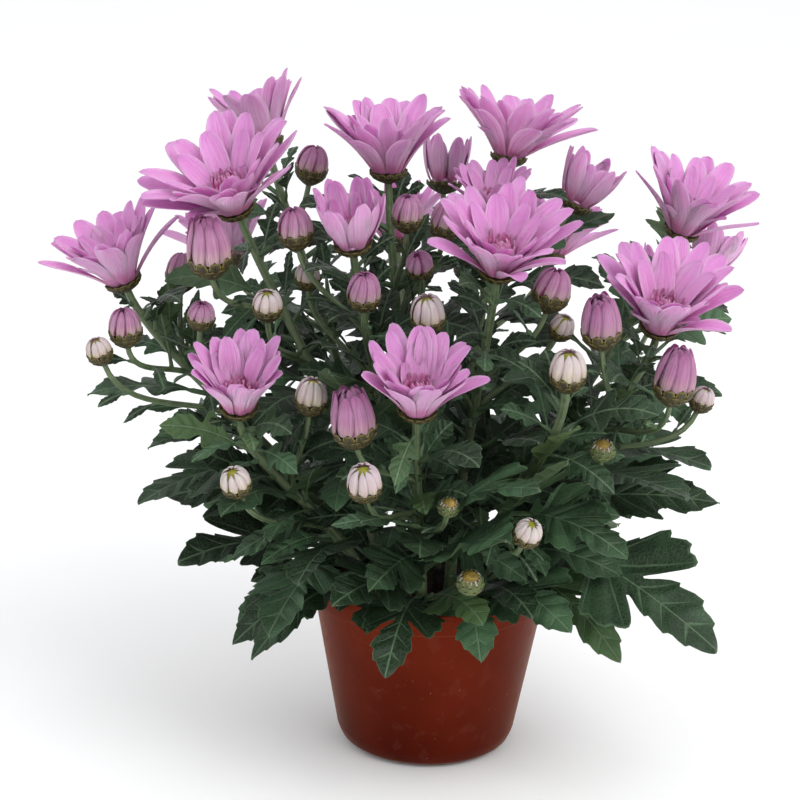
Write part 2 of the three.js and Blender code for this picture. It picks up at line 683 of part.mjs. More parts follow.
const isClear = (solid, others) =>
  others.every((other) => !boxesNear(solid, other) || solid.minGap(other, 1) >= CLEARANCE);

// The first way of bending a leaf that keeps it clear of all that it isn't joined to, or nothing
function clearLeaf(plan, others) {
  for (const size of LEAF_SIZES) {
    for (const lift of LEAF_LIFTS) {
      for (const swing of LEAF_SWINGS) {
        const solid = leaf(bent(plan, swing, lift, size));
        if (isClear(solid, others)) return solid;
      }
    }
  }
  return null;
}

// The pot: a thin tapered shell with a collar, and drain holes round the middle of its underside
function potSolid() {
  const collarFoot = POT_HEIGHT - COLLAR_DEPTH;
  const profile = [
    [0, 0],
    [FOOT_RADIUS, 0],
    [SHOULDER_RADIUS - 2.4, 3.2],
    [SHOULDER_RADIUS, SHOULDER_HEIGHT],
    [BODY_TOP_RADIUS, collarFoot],
    [COLLAR_RADIUS, collarFoot + 0.6],
    [RIM_RADIUS, POT_HEIGHT - LIP_DEPTH],
    [RIM_RADIUS, POT_HEIGHT],
    [RIM_RADIUS - WALL, POT_HEIGHT],
    [SHOULDER_RADIUS - WALL, SHOULDER_HEIGHT],
    [FOOT_RADIUS - 1, FLOOR],
    [0, FLOOR],
  ];
  let pot = turned(profile, POT_SIDES, vec([0, 0, 0]), [0, 0]);
  for (let i = 0; i < DRAIN_HOLES; i++) {
    const turn = ((i + 0.5) / DRAIN_HOLES) * 2 * Math.PI;
    const [x, y] = [Math.cos(turn) * DRAIN_CIRCLE, Math.sin(turn) * DRAIN_CIRCLE];
    pot = pot.subtract(post(x, y, -1, FLOOR + 1, DRAIN_RADIUS, DRAIN_SIDES));
  }
  return pot;
}

// The soil: it fills the pot to below the rim, with a lumpy top and a plain hole for each stem
function soilSolid() {
  const draw = seededDraws(7);
  const shoulder = SHOULDER_RADIUS - WALL;
  const topShare = (SOIL_LEVEL - SHOULDER_HEIGHT) / (POT_HEIGHT - SHOULDER_HEIGHT);
  const topRadius = shoulder + (RIM_RADIUS - WALL - shoulder) * topShare;
  const profile = [
    [0, FLOOR + SEAT_GAP],
    [FOOT_RADIUS - 2, FLOOR + SEAT_GAP],
    [shoulder - 0.5, SHOULDER_HEIGHT + 0.3],
    [topRadius - 0.5, SOIL_LEVEL - 0.8],
    [topRadius * 0.66, SOIL_LEVEL],
    [0, SOIL_LEVEL],
  ];
  const lumps = Array.from({ length: POT_SIDES }, () => draw(-SOIL_LUMP, SOIL_LUMP));
  const lumpy = (side, row) => [1, row === 4 ? lumps[side] : 0];
  const soil = turned(profile, POT_SIDES, vec([0, 0, 0]), [0, 0], lumpy);
  const [foot, top] = [SOIL_LEVEL - BURIED - 0.4, SOIL_LEVEL + 5];
  const holes = SHOOTS.map((shoot) => post(...shoot.foot, foot, top, STEM_FOOT_RADIUS + 0.5, STEM_SIDES));
  return soil.subtract(joined(holes));
}

// The stem, side stalks, cups and green buds of a shoot, with no leaves yet
function bareShoot(shoot, stem) {
  const sideStalk = (head) => stalk(stalkCurve(stem, head), STALK_RADIUS, STALK_RADIUS, STALK_SIDES, 3);
  const [, ...sideHeads] = shoot.heads;
  return joined([
    post(...shoot.foot, SOIL_LEVEL - BURIED, SOIL_LEVEL + STUB_TOP + 0.5, STEM_FOOT_RADIUS, STEM_SIDES),
    stalk(stem, STEM_FOOT_RADIUS, STEM_NECK_RADIUS, STEM_SIDES, 6),
    ...shoot.heads.map(cup),
    ...sideHeads.map(sideStalk),
    ...shoot.greenBuds.flatMap((bud) => [greenBud(bud), sideStalk(bud)]),
  ]);
}

function plantGroup() {
  const group = new THREE.Group();
  const pot = potSolid();
  const soil = soilSolid();
  group.add(meshOf("pot", pot, COLOURS.pot), meshOf("soil", soil, COLOURS.soil));

  const heads = SHOOTS.flatMap((shoot) => shoot.heads);
  const petals = heads.map((head, i) => (isBud(head) ? closedBud(head) : openHead(head, i + 1)));
  heads.forEach((head, i) => {
    group.add(meshOf(head.name, petals[i], isBud(head) ? COLOURS.bud : COLOURS.pink));
  });

  const stems = SHOOTS.map(stemCurve);
  const woods = SHOOTS.map((shoot, i) => bareShoot(shoot, stems[i]));
  const leaves = SHOOTS.map(() => []);
  SHOOTS.forEach((shoot, i) => {
    const otherWoods = woods.filter((wood, j) => j !== i);
    for (const plan of leafPlans(shoot, stems[i], FIRST_LEAF_SEED + i)) {
      const solid = clearLeaf(plan, [pot, soil, ...petals, ...otherWoods, ...leaves.flat()]);
      if (solid) leaves[i].push(solid);
    }
    group.add(meshOf(shoot.name, mainBody(joined([woods[i], ...leaves[i]])), COLOURS.green));
  });
  return group;
}

export default plantGroup();
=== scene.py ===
import math
from types import SimpleNamespace

import bmesh
import bpy
from mathutils import Matrix, Vector, noise
from mathutils.bvhtree import BVHTree


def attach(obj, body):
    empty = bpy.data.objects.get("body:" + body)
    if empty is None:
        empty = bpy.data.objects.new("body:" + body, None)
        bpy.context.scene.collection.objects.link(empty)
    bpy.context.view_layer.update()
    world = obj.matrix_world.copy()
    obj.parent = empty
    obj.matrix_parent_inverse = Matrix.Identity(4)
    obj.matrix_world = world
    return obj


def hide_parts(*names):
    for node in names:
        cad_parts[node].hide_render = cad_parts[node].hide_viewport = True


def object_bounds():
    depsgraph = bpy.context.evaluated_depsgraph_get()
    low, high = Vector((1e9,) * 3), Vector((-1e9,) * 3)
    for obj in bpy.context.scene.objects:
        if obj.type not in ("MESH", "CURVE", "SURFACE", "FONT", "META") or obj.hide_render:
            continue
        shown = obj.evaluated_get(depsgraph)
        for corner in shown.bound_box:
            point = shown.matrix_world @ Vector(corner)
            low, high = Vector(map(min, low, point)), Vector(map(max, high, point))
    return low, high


# The looks of a pot-grown pink chrysanthemum, built round its frame.
# Lengths are in millimetres until a piece is finished, and angles are in radians.
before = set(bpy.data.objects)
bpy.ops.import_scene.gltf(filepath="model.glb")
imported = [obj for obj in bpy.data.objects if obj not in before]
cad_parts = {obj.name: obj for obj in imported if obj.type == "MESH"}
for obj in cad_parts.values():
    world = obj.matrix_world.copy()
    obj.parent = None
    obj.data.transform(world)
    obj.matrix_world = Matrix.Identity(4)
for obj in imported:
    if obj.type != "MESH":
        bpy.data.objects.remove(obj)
FRAME_LOW, FRAME_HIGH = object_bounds()
MM = 0.001

# The view: a square picture of this side, its focal length in pixels, and where the camera stands
PICTURE_SIDE = 800
FOCAL_PIXELS = 2193
SENSOR = 36
CAMERA_AT = Vector((-18.3, -1100, 513))
CAMERA_DOWN = math.radians(16.4)
CAMERA_ROLL = math.radians(1.5)

# Pot and soil
POT_HEIGHT = 94
RIM_RADIUS = 64
COLLAR_RADIUS = 62.6
BODY_TOP_RADIUS = 61.4
COLLAR_DEPTH = 12
LIP_DEPTH = 3.5
SHOULDER_RADIUS = 48
SHOULDER_HEIGHT = 9
FOOT_RADIUS = 40
WALL = 1.8
FLOOR = 2.2
POT_STEPS = 96
DRAIN_HOLES = 4
DRAIN_RADIUS = 4
DRAIN_CIRCLE = 29
SOIL_LEVEL = 83
SEAT_GAP = 0.3

# Stems, stalks and the green cups under the heads
STEM_FOOT_RADIUS = 2.9
STEM_NECK_RADIUS = 1.9
STALK_RADIUS = 1.5
RIDGE = 0.08
BURIED = 14
STUB_TOP = 2.5
STEM_LEAN = 0.16
BLOOM_CUP_RADIUS = 9.5
BLOOM_CUP_HEIGHT = 5
BUD_CUP_WIDE = 0.98
BUD_CUP_TALL = 0.85
CUP_ROOT = 1.6
CUP_DISH = 1.4
CUP_TOOTH = 0.9

# Petals
HALF_OPEN_RISE = 1.15
PETAL_WIDTH = 0.33
PETAL_THICKNESS = 0.55
PETAL_ROWS = (0, 0.1, 0.22, 0.36, 0.5, 0.62, 0.73, 0.83, 0.91, 0.965, 1)
PETAL_COLUMNS = 6
GROOVE = 0.2
EYE_ROWS = (0, 0.35, 0.7, 0.9, 1)
EYE_COLUMNS = 4
EYE_HEAD = 40
GOLDEN_TURN = 2.39996

# Buds
LARGE_BUD = 9.9
MIDDLE_BUD = 7.9
BUD_ROWS = (0, 0.15, 0.35, 0.55, 0.72, 0.85, 0.94, 1)
BUD_COLUMNS = 6
BRACT_ROWS = (0, 0.3, 0.6, 0.85, 1)
BRACT_COLUMNS = 4
GREEN_BUD_TOP = 1.58

# Leaves
PETIOLE = 0.32
PETIOLE_HALF = 1.1
LEAF_FOLD = 0.16
LEAF_TILT = 0.4
LEAF_FACING = 0.55
LOWEST_LEAF = 0.12
LEAFY_SHARE = 0.76
LOW_LEAF = 92
LEAF_LOSS = 46
LOW_RISE = -0.12
RISE_GAIN = 0.6
TURN_STEP = 2 * math.pi * 0.4
FIRST_LEAF_SEED = 100
LEAF_SIZES = (1, 0.82)
LEAF_LIFTS = (0, 0.2, -0.2, 0.4)
LEAF_SWINGS = (0, 0.24, -0.24, 0.48, -0.48, 0.8, -0.8)
SMALL_LEAF_LENGTH = 60
LEAF_THICKNESS = 0.6
LEAF_COLUMNS = 6
QUILT = 0.007
UNEVEN = 0.07

# How near the tips of a leaf lie to the solid that bears it
FOUND_WITHIN = 0.35

# Leaves added between those of the solids: how many on a stem, their places on a side stalk, how finely
# they are divided, how often one is tried, and where the pot's rim stays bare
STEM_LEAVES = 28
STALK_PLACES = (0.12, 0.34, 0.56, 0.76)
ADDED_LEAF_COLUMNS = 4
TRIES = 16
RIM_SHOWN_FROM = -20
RIM_CLEAR = 4

# Small seeded differences: what is added to the seeds by which the solids were made
FINE_SEEDS = 500
FINE_LEAF_SEEDS = 900

# Crumbs on the soil: the seed of their draws and of their lumps, and how many there are
CRUMB_SEED = 77
CRUMBS = 520

# Meshes: the distance at which corners join, and the angle past which an edge is sharp
WELD = 0.002
SHARP = 1.2

# Light and floor. Places and sides are in metres.
SKY_STRENGTH = 1.03
SKY_COLOUR = (0.98, 0.99, 1, 1)
KEY_AT = (1.1, -1.3, 1.9)
KEY_AIM = (0, 0, 0.18)
KEY_SIDE = 1.4
KEY_POWER = 26
FLOOR_REACH = 20

# Buds that still show white petals
WHITE_BUDS = (
    "bud_far_left_small", "bud_left_white", "bud_inner_white", "bud_front_left_white", "bud_low_left_white",
    "bud_low_front_white", "bud_centre_cream", "bud_right_white", "bud_low_right_white",
    "bud_far_right_white", "bud_front_right")

UP = Vector((0, 0, 1))
AWAY = Vector((0, 1, 0))


def head(name, neck, lean, size, rise=None, leave=None):
    """A head on its stalk. neck: where its green cup starts. lean: how its axis tilts sideways and away.
    size: a bud's widest radius or the length of a bloom's petals. rise: how steep a bloom's petals stand.
    leave: how far up the stem its stalk leaves it."""
    return SimpleNamespace(name=name, neck=Vector(neck), lean=lean, size=size, rise=rise, leave=leave)


def shoot(name, foot, ruled_leaves, heads, green_buds, chosen_leaves):
    """A shoot. Its first head ends the stem. ruled_leaves: how many leaves grow by rule. A chosen leaf is
    where it leaves the stem, its tip, arch and breadth."""
    return SimpleNamespace(name=name, foot=foot, ruled_leaves=ruled_leaves, heads=heads,
                           green_buds=green_buds, chosen_leaves=chosen_leaves)


SHOOTS = [
    shoot("shoot_far_left", (-36, -6), 6, [
        head("bloom_far_left", (-158, -20, 250), (-0.36, -0.2), 39, rise=0.7),
        head("bud_under_far_left", (-155, -42, 226), (-0.1, -0.15), 8.5, leave=0.66),
        head("bud_left_of_centre", (-133, 2, 244), (0.05, 0.1), 8.5, leave=0.66),
        head("bud_far_left_small", (-166, -50, 219), (-0.3, -0.25), 6.5, leave=0.5),
        head("bud_left_purple", (-118, -50, 238), (0.1, -0.3), 7, leave=0.56),
    ], [
    ], [
        (0.1, (-129, -56, 116), 20, 0.9),
        (0.36, (-150, -50, 146), 16, 1),
        (0.6, (-177, -34, 200), 8, 0.9),
        (0.48, (-137, -62, 186), 8, 0.9),
        (0.22, (-140, 0, 132), 18, 1),
        (0.7, (-152, -8, 236), 6, 0.9),
    ]),
    shoot("shoot_left", (-24, -12), 6, [
        head("bloom_left", (-101, -25, 290), (-0.34, -0.42), 48, rise=0.52),
        head("bud_left_large", (-112, -52, 265), (-0.1, -0.25), 11.5, leave=0.66),
        head("bud_left_white", (-84, -60, 246), (0, -0.3), 7.5, leave=0.52),
    ], [
    ], [
        (0.3, (-96, -98, 142), 18, 1),
        (0.56, (-129, -24, 219), 8, 0.9),
    ]),
    shoot("shoot_back_left", (-26, 18), 6, [
        head("bloom_back_left", (-91, 45, 311), (-0.3, 0.1), 36, rise=0.85),
        head("bloom_back_far_left", (-112, 84, 238), (-0.35, 0.4), 36, rise=0.8, leave=0.5),
        head("bud_back_left_pink", (-68, 14, 300), (0.15, -0.1), 8.5, leave=0.74),
    ], [
        head("green", (-132, 46, 196), (-0.4, 0.2), 6, leave=0.4),
    ], [
    ]),
    shoot("shoot_left_centre", (-12, -18), 6, [
        head("bloom_left_centre", (-43, -50, 279), (-0.1, -0.42), 33, rise=1.2),
        head("bud_left_centre_pink", (-70, -46, 279), (-0.15, -0.2), 9, leave=0.7),
        head("bud_inner_white", (-66, -30, 255), (0, -0.3), 6.5, leave=0.55),
        head("bud_inner_pink", (-37, -66, 254), (0, -0.35), 8.5, leave=0.62),
    ], [
    ], [
        (0.3, (-72, -104, 196), 8, 0.9),
    ]),
    shoot("shoot_centre", (-6, 4), 6, [
        head("bloom_top", (-27, 0, 305), (-0.04, -0.08), 41, rise=0.68),
        head("bud_centre_pink", (-17, -32, 286), (0, -0.2), 8, leave=0.68),
        head("bud_centre_tall", (1, -27, 281), (0.1, -0.1), 8, leave=0.6),
        head("bud_centre_small", (-9, -34, 264), (-0.2, -0.6), 7, leave=0.54),
    ], [
    ], [
        (0.62, (18, -50, 240), 6, 0.9),
    ]),
    shoot("shoot_right_centre", (10, -16), 6, [
        head("bloom_right_centre", (27, -65, 271), (0.06, -0.42), 42, rise=0.66),
        head("bud_right_of_centre", (52, -60, 254), (0.2, -0.1), 9.5, leave=0.6),
        head("bud_centre_cream", (-5, -72, 245), (-0.1, -0.3), 8.5, leave=0.5),
        head("bud_right_white", (58, -50, 238), (0.4, -0.4), 6.3, leave=0.5),
    ], [
    ], [
        (0.36, (48, -104, 202), 12, 1),
        (0.6, (22, -90, 222), 6, 0.9),
    ]),
    shoot("shoot_back_right", (12, 16), 7, [
        head("bloom_top_right", (34, 25, 310), (0.14, 0.02), 42, rise=0.6),
        head("bloom_behind_centre", (26, -1, 286), (0, -0.25), 27, rise=0.9, leave=0.72),
        head("bloom_slim_centre", (2, 52, 290), (0.05, 0.2), 27, rise=1.32, leave=0.66),
        head("bloom_half_right", (68, 26, 287), (0.5, 0), 29, rise=1.18, leave=0.62),
    ], [
    ], [
        (0.72, (92, 34, 284), 6, 0.8),
    ]),
    shoot("shoot_far_right", (32, 6), 6, [
        head("bloom_far_right", (123, 10, 277), (0.28, -0.25), 40, rise=0.7),
        head("bloom_slim_right", (142, 42, 250), (0.4, 0.35), 26, rise=1.2, leave=0.62),
        head("bloom_back_far_right", (122, 84, 216), (0.4, 0.4), 35, rise=0.78, leave=0.42),
    ], [
    ], [
        (0.5, (146, -24, 205), 10, 0.9),
        (0.72, (150, 4, 228), 10, 0.8),
        (0.62, (128, 42, 262), 6, 0.8),
        (0.24, (138, -6, 140), 16, 1),
        (0.34, (140, -44, 170), 14, 1),
    ]),
    shoot("shoot_right", (28, -16), 7, [
        head("bloom_right", (108, -50, 241), (0.1, -0.42), 43, rise=0.7),
        head("bud_right_pink", (78, -82, 242), (-0.1, -0.25), 10, leave=0.6),
        head("bud_right_purple", (112, -86, 216), (0.1, -0.15), 10.5, leave=0.55),
        head("bud_far_right_white", (130, -52, 203), (0.3, -0.2), 6, leave=0.45),
    ], [
        head("green", (80, -90, 190), (0, -0.4), 6, leave=0.34),
    ], [
        (0.24, (141, -97, 92), 16, 1.05),
        (0.42, (152, -74, 177), 10, 1.05),
        (0.1, (96, -76, 76), 26, 1),
        (0.3, (98, -108, 152), 12, 0.9),
        (0.5, (74, -92, 210), 8, 0.9),
    ]),
    shoot("shoot_front", (-4, -36), 6, [
        head("bloom_front", (-10, -105, 212), (0.02, -0.42), 38, rise=0.86),
        head("bud_front_opening", (-38, -110, 198), (-0.15, -0.2), 11, leave=0.6),
        head("bud_low_front_white", (-33, -126, 178), (-0.1, -0.5), 8.3, leave=0.4),
    ], [
        head("green", (6, -108, 166), (0.1, -0.5), 5, leave=0.3),
    ], [
        (0.05, (-22, -118, 84), 26, 1),
        (0.46, (48, -128, 186), 8, 0.8),
        (0.34, (-72, -120, 172), 8, 0.7),
        (0.16, (34, -134, 140), 14, 1),
        (0.1, (-28, -124, 140), 14, 1),
    ]),
    shoot("shoot_front_left", (-28, -30), 7, [
        head("bloom_front_left", (-96, -85, 205), (0.02, -0.42), 34, rise=0.96),
        head("bud_front_left_white", (-62, -85, 206), (0.1, -0.2), 8, leave=0.5),
        head("bud_low_left_white", (-94, -102, 170), (-0.25, -0.5), 7.5, leave=0.3),
    ], [
    ], [
        (0.05, (-50, -116, 118), 14, 1),
        (0.1, (-90, -78, 74), 24, 0.9),
        (0.3, (-118, -74, 184), 10, 1),
        (0.08, (-62, -100, 88), 24, 1),
    ]),
    shoot("shoot_front_right", (16, -36), 8, [
        head("bud_front_right", (61, -95, 224), (0, -0.25), 9),
        head("bud_low_right_white", (42, -117, 154), (0.3, -0.5), 6.8, leave=0.35),
    ], [
        head("green", (18, -104, 126), (0, -0.6), 6.5, leave=0.22),
    ], [
        (0.1, (68, -104, 104), 18, 1.1),
        (0.05, (6, -112, 92), 20, 1.05),
        (0.4, (92, -118, 150), 14, 0.9),
        (0.56, (40, -122, 214), 8, 0.8),
        (0.06, (32, -112, 96), 22, 1),
        (0.3, (62, -116, 178), 10, 0.9),
    ]),
    shoot("shoot_back", (4, 36), 6, [
        head("bloom_back", (-22, 112, 244), (-0.1, 0.4), 38, rise=0.74),
        head("bloom_back_right", (62, 108, 240), (0.25, 0.4), 37, rise=0.72, leave=0.45),
        head("bud_back_pink", (18, 126, 224), (0.1, 0.4), 8.5, leave=0.5),
    ], [
        head("green", (-62, 118, 196), (-0.3, 0.4), 6, leave=0.4),
    ], [
    ]),
]


def leaf_shape(edge, ribs, teeth):
    """Rows of a leaf from the foot of its blade to its tip. edge: half its outline, as places along and out
    from the midrib in blade lengths. ribs: where some of the rows leave the midrib. teeth: the rows that
    end in one. Each row gets a vein number: whole on a tooth's own vein, and a half between two teeth."""
    veins = [(-1, 0)] + [(tooth, number) for number, tooth in enumerate(teeth, start=1)]
    veins.append((len(edge) - 1, len(teeth) + 0.5))
    rows = []
    for i, (along, out) in enumerate(edge):
        rows.append(SimpleNamespace(rib=between(ribs, i), along=along, out=out, vein=between(veins, i)))
    return rows


def between(knots, at):
    """The value at a place on a broken line through (place, value) knots."""
    for (a, low), (b, high) in zip(knots, knots[1:]):
        if at <= b:
            return low + (high - low) * (at - a) / (b - a)
    return knots[-1][1]


LOBED = leaf_shape(
    edge=[(0, 0.016), (0.03, 0.035), (0.06, 0.07), (0.085, 0.12), (0.11, 0.17), (0.14, 0.207),
          (0.165, 0.2), (0.18, 0.17), (0.187, 0.13), (0.197, 0.1), (0.215, 0.085), (0.238, 0.098),
          (0.26, 0.145), (0.28, 0.195), (0.3, 0.232), (0.312, 0.222), (0.33, 0.258), (0.36, 0.305),
          (0.398, 0.332), (0.415, 0.318), (0.425, 0.298), (0.46, 0.31), (0.505, 0.325), (0.55, 0.325),
          (0.56, 0.303), (0.575, 0.29), (0.612, 0.296), (0.655, 0.285), (0.66, 0.262), (0.638, 0.225),
          (0.602, 0.185), (0.56, 0.145), (0.52, 0.108), (0.485, 0.08), (0.465, 0.062), (0.478, 0.055),
          (0.51, 0.068), (0.55, 0.092), (0.6, 0.12), (0.65, 0.142), (0.66, 0.124), (0.69, 0.136),
          (0.735, 0.156), (0.79, 0.166), (0.8, 0.14), (0.82, 0.13), (0.855, 0.128), (0.893, 0.116),
          (0.9, 0.09), (0.925, 0.074), (0.955, 0.054), (0.98, 0.03), (0.993, 0.014), (1, 0)],
    ribs=[(0, 0), (5, 0.05), (10, 0.12), (14, 0.17), (18, 0.21), (23, 0.25), (27, 0.28), (34, 0.39),
          (39, 0.5), (43, 0.64), (47, 0.8), (53, 1)],
    teeth=[5, 18, 27, 39, 43, 47],
)
THREE_LOBED = leaf_shape(
    edge=[(0, 0.02), (0.08, 0.045), (0.15, 0.085), (0.2, 0.14), (0.24, 0.19), (0.265, 0.214), (0.28, 0.2),
          (0.31, 0.24), (0.36, 0.275), (0.39, 0.262), (0.415, 0.215), (0.425, 0.165), (0.432, 0.12),
          (0.448, 0.09), (0.475, 0.09), (0.52, 0.12), (0.57, 0.158), (0.625, 0.185), (0.638, 0.16),
          (0.68, 0.166), (0.73, 0.177), (0.79, 0.175), (0.8, 0.142), (0.84, 0.125), (0.893, 0.112),
          (0.902, 0.084), (0.94, 0.058), (0.98, 0.022), (1, 0)],
    ribs=[(0, 0), (5, 0.13), (8, 0.2), (13, 0.38), (17, 0.48), (21, 0.62), (24, 0.78), (28, 1)],
    teeth=[8, 17, 21, 24],
)
NARROW = leaf_shape(
    edge=[(0, 0.03), (0.12, 0.06), (0.24, 0.1), (0.34, 0.15), (0.4, 0.16), (0.42, 0.135), (0.5, 0.15),
          (0.59, 0.165), (0.61, 0.135), (0.68, 0.132), (0.76, 0.125), (0.78, 0.095), (0.88, 0.07),
          (0.96, 0.03), (1, 0)],
    ribs=[(0, 0), (4, 0.26), (7, 0.42), (10, 0.62), (14, 1)],
    teeth=[4, 7, 10],
)


def lobe_tips(*rows):
    """Rows that end at lobes' tips, by which a leaf of a shoot's solid is found again."""
    return [SimpleNamespace(rib=rib, along=along, out=out) for rib, along, out in rows]


LARGE_LEAF_TIPS = lobe_tips((0.25, 0.4, 0.33), (0.38, 0.64, 0.28))
SMALL_LEAF_TIPS = lobe_tips((0.2, 0.36, 0.27), (0.62, 0.78, 0.17))


def seeded_draws(seed):
    """A seeded sequence of draws: each call gives a number between low and high."""
    state = (seed * 2654435761) % 4294967296

    def draw(low, high):
        nonlocal state
        state = (state * 1664525 + 1013904223) % 4294967296
        return low + (high - low) * state / 4294967296

    return draw


def is_bud(head):
    return head.rise is None


def head_frame(lean):
    """Three directions of a head: its axis, and two across it."""
    axis = Vector((lean[0], lean[1], 1)).normalized()
    across = AWAY.cross(axis).normalized()
    return axis, across, axis.cross(across)


class Curve:
    """A Bezier curve through space."""

    def __init__(self, *points):
        self.points = points

    def ends_after(self, t, count):
        """The curve's points, drawn together at t until this count of them is left."""
        points = self.points
        while len(points) > count:
            points = [a.lerp(b, t) for a, b in zip(points, points[1:])]
        return points

    def point(self, t):
        return self.ends_after(t, 1)[0]

    def heading(self, t):
        start, end = self.ends_after(t, 2)
        return (end - start).normalized()


def stem_curve(shoot):
    """The stem of a shoot, from its foot in the soil to the neck of its first head."""
    neck, lean = shoot.heads[0].neck, shoot.heads[0].lean
    foot = Vector((*shoot.foot, SOIL_LEVEL + STUB_TOP))
    tall = neck.z - foot.z
    low = foot.lerp(neck, STEM_LEAN)
    low.z = foot.z + tall * 0.42
    return Curve(foot, low, neck - head_frame(lean)[0] * tall * 0.3, neck)


def stalk_curve(stem, head):
    """A side stalk, from the stem to the neck of a head."""
    start = stem.point(head.leave)
    span = (start - head.neck).length
    low = start + stem.heading(head.leave) * span * 0.3
    return Curve(start, low, head.neck - head_frame(head.lean)[0] * span * 0.4, head.neck)


# Meshes

def new_mesh():
    """An empty mesh. Finishes read two values at its corners: tone, one number for a whole blade, and spot,
    which is the place across it from -1 to 1, the place along it, and a distance in millimetres."""
    bm = bmesh.new()
    bm.verts.layers.float.new("tone")
    bm.verts.layers.float_vector.new("spot")
    return bm


def lay_sheet(bm, columns, rows, corner, tone, finish, turned_over=False):
    """A grid whose corners go where corner(column, row) puts them. It gives a point and a spot."""
    tone_layer = bm.verts.layers.float["tone"]
    spot_layer = bm.verts.layers.float_vector["spot"]
    verts = bmesh.ops.create_grid(bm, x_segments=columns, y_segments=rows, size=1)["verts"]
    for face in {face for vert in verts for face in vert.link_faces}:
        face.material_index = finish
        if turned_over:
            face.normal_flip()
    for i, vert in enumerate(verts):
        vert.co, vert[spot_layer] = corner(i % (columns + 1), i // (columns + 1))
        vert[tone_layer] = tone


def add_blade(bm, columns, rows, surface, tone, finishes=(0, 1)):
    """A thin closed blade: two sheets that meet at their edges. surface(place, row) gives the point there,
    the way through the blade, its thickness and its spot. place goes from -1 to 1."""
    spots = [[surface(2 * c / columns - 1, r) for c in range(columns + 1)] for r in range(rows + 1)]
    row = rows // 2
    column = columns // 2
    middle = spots[row][column]
    sideways = spots[row][column + 1][0] - middle[0]
    along = spots[row + 1][column][0] - middle[0]
    faces_up = sideways.cross(along).dot(middle[1]) > 0
    for side, finish in zip((1, -1), finishes):
        def corner(c, r):
            point, through, thickness, spot = spots[r][c]
            if 0 < c < columns and 0 < r < rows:
                point = point + through * (side * thickness / 2)
            return point, spot

        lay_sheet(bm, columns, rows, corner, tone, finish, turned_over=faces_up == (side < 0))


def add_tube(bm, sides, rings, tone, finish=0):
    """A closed tube through rings of centre, side, front, radius and place along it. The first and the last
    radius are nothing, which closes it. A radius may be a function of the turn."""
    def corner(c, r):
        centre, side, front, radius, along = rings[r]
        turn = math.pi * (2 * c / sides - 1)
        reach = radius(turn) if callable(radius) else radius
        point = centre + (side * math.cos(turn) + front * math.sin(turn)) * reach
        return point, (turn / math.pi, along, reach)

    lay_sheet(bm, sides, len(rings) - 1, corner, tone, finish)


def add_round(bm, head, profile, sides, tone, finish):
    """A turned solid on a head's axis, through (radius, height) points from its foot to its top."""
    axis, across, away = head_frame(head.lean)
    top = len(profile) - 1
    rings = []
    for i, (radius, height) in enumerate(profile):
        rings.append((head.neck + axis * height, across, away, radius, i / top))
    add_tube(bm, sides, rings, tone, finish)


def finish_piece(bm, name, nodes, finishes):
    """Closes the seams, keeps the mesh inside the frame's box, turns it to metres, and makes it a piece."""
    bmesh.ops.remove_doubles(bm, verts=bm.verts, dist=WELD)
    low, high = FRAME_LOW / MM, FRAME_HIGH / MM
    for vert in bm.verts:
        vert.co = [min(max(vert.co[k], low[k]), high[k]) for k in range(3)]
    for edge in bm.edges:
        edge.smooth = edge.calc_face_angle(0) < SHARP
    for face in bm.faces:
        face.smooth = True
    bmesh.ops.scale(bm, vec=(MM, MM, MM), verts=bm.verts)
    mesh = bpy.data.meshes.new(name)
    bm.to_mesh(mesh)
    bm.free()
    for finish in finishes:
        mesh.materials.append(finish)
    piece = bpy.data.objects.new(name, mesh)
    bpy.context.scene.collection.objects.link(piece)
    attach(piece, "root")
    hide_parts(*nodes)
    return piece


# Petals

def petal_ring(count, share, steeper, wide, start, lift, shift, spread=0.07, steepest=math.pi / 2):
    """A ring of a head's petals. share: their length, of the head's size. steeper: their rise over the
    head's own, up to steepest. wide: their width, of the usual one. start and lift: where they start, out
    from the axis and over the cup. shift: how far the ring is turned, in petals. spread: how much their
    rise differs."""
    return SimpleNamespace(count=count, share=share, steeper=steeper, wide=wide, start=start, lift=lift,
                           shift=shift, spread=spread, steepest=steepest)


# Kinds of head. foot and bend: how much steeper a petal's foot is, and how its rise changes on the way.
# The first two rings are the solid's own.
OPEN = SimpleNamespace(foot=0.28, bend=-0.46, eye_petals=50, rings=[
    petal_ring(9, share=0.97, steeper=0.03, wide=1, start=7.6, lift=0.2, shift=0, spread=0.2),
    petal_ring(4, share=0.54, steeper=0.08, wide=0.8, start=6, lift=2, shift=0.5, spread=0.2,
               steepest=1.08),
    petal_ring(10, share=0.94, steeper=0.22, wide=1, start=7, lift=0.7, shift=0.5, steepest=1),
    petal_ring(8, share=0.74, steeper=0.36, wide=0.88, start=5.8, lift=1.6, shift=0.25, steepest=1),
    petal_ring(9, share=0.36, steeper=0.46, wide=0.6, start=6.2, lift=2.4, shift=0.8, steepest=1),
])
HALF_OPEN = SimpleNamespace(foot=-0.25, bend=0.5, eye_petals=24, rings=[
    petal_ring(6, share=0.97, steeper=0.03, wide=1, start=7.6, lift=0.2, shift=0, spread=0.06),
    petal_ring(3, share=0.54, steeper=0.3, wide=0.85, start=3.8, lift=2.4, shift=0.5, spread=0.06,
               steepest=1.3),
    petal_ring(8, share=0.86, steeper=0, wide=1.05, start=6.2, lift=1, shift=0.5),
    petal_ring(6, share=0.66, steeper=0, wide=0.8, start=5, lift=1.6, shift=0.2),
])


def smooth_step(x):
    x = min(max(x, 0), 1)
    return x * x * (3 - 2 * x)


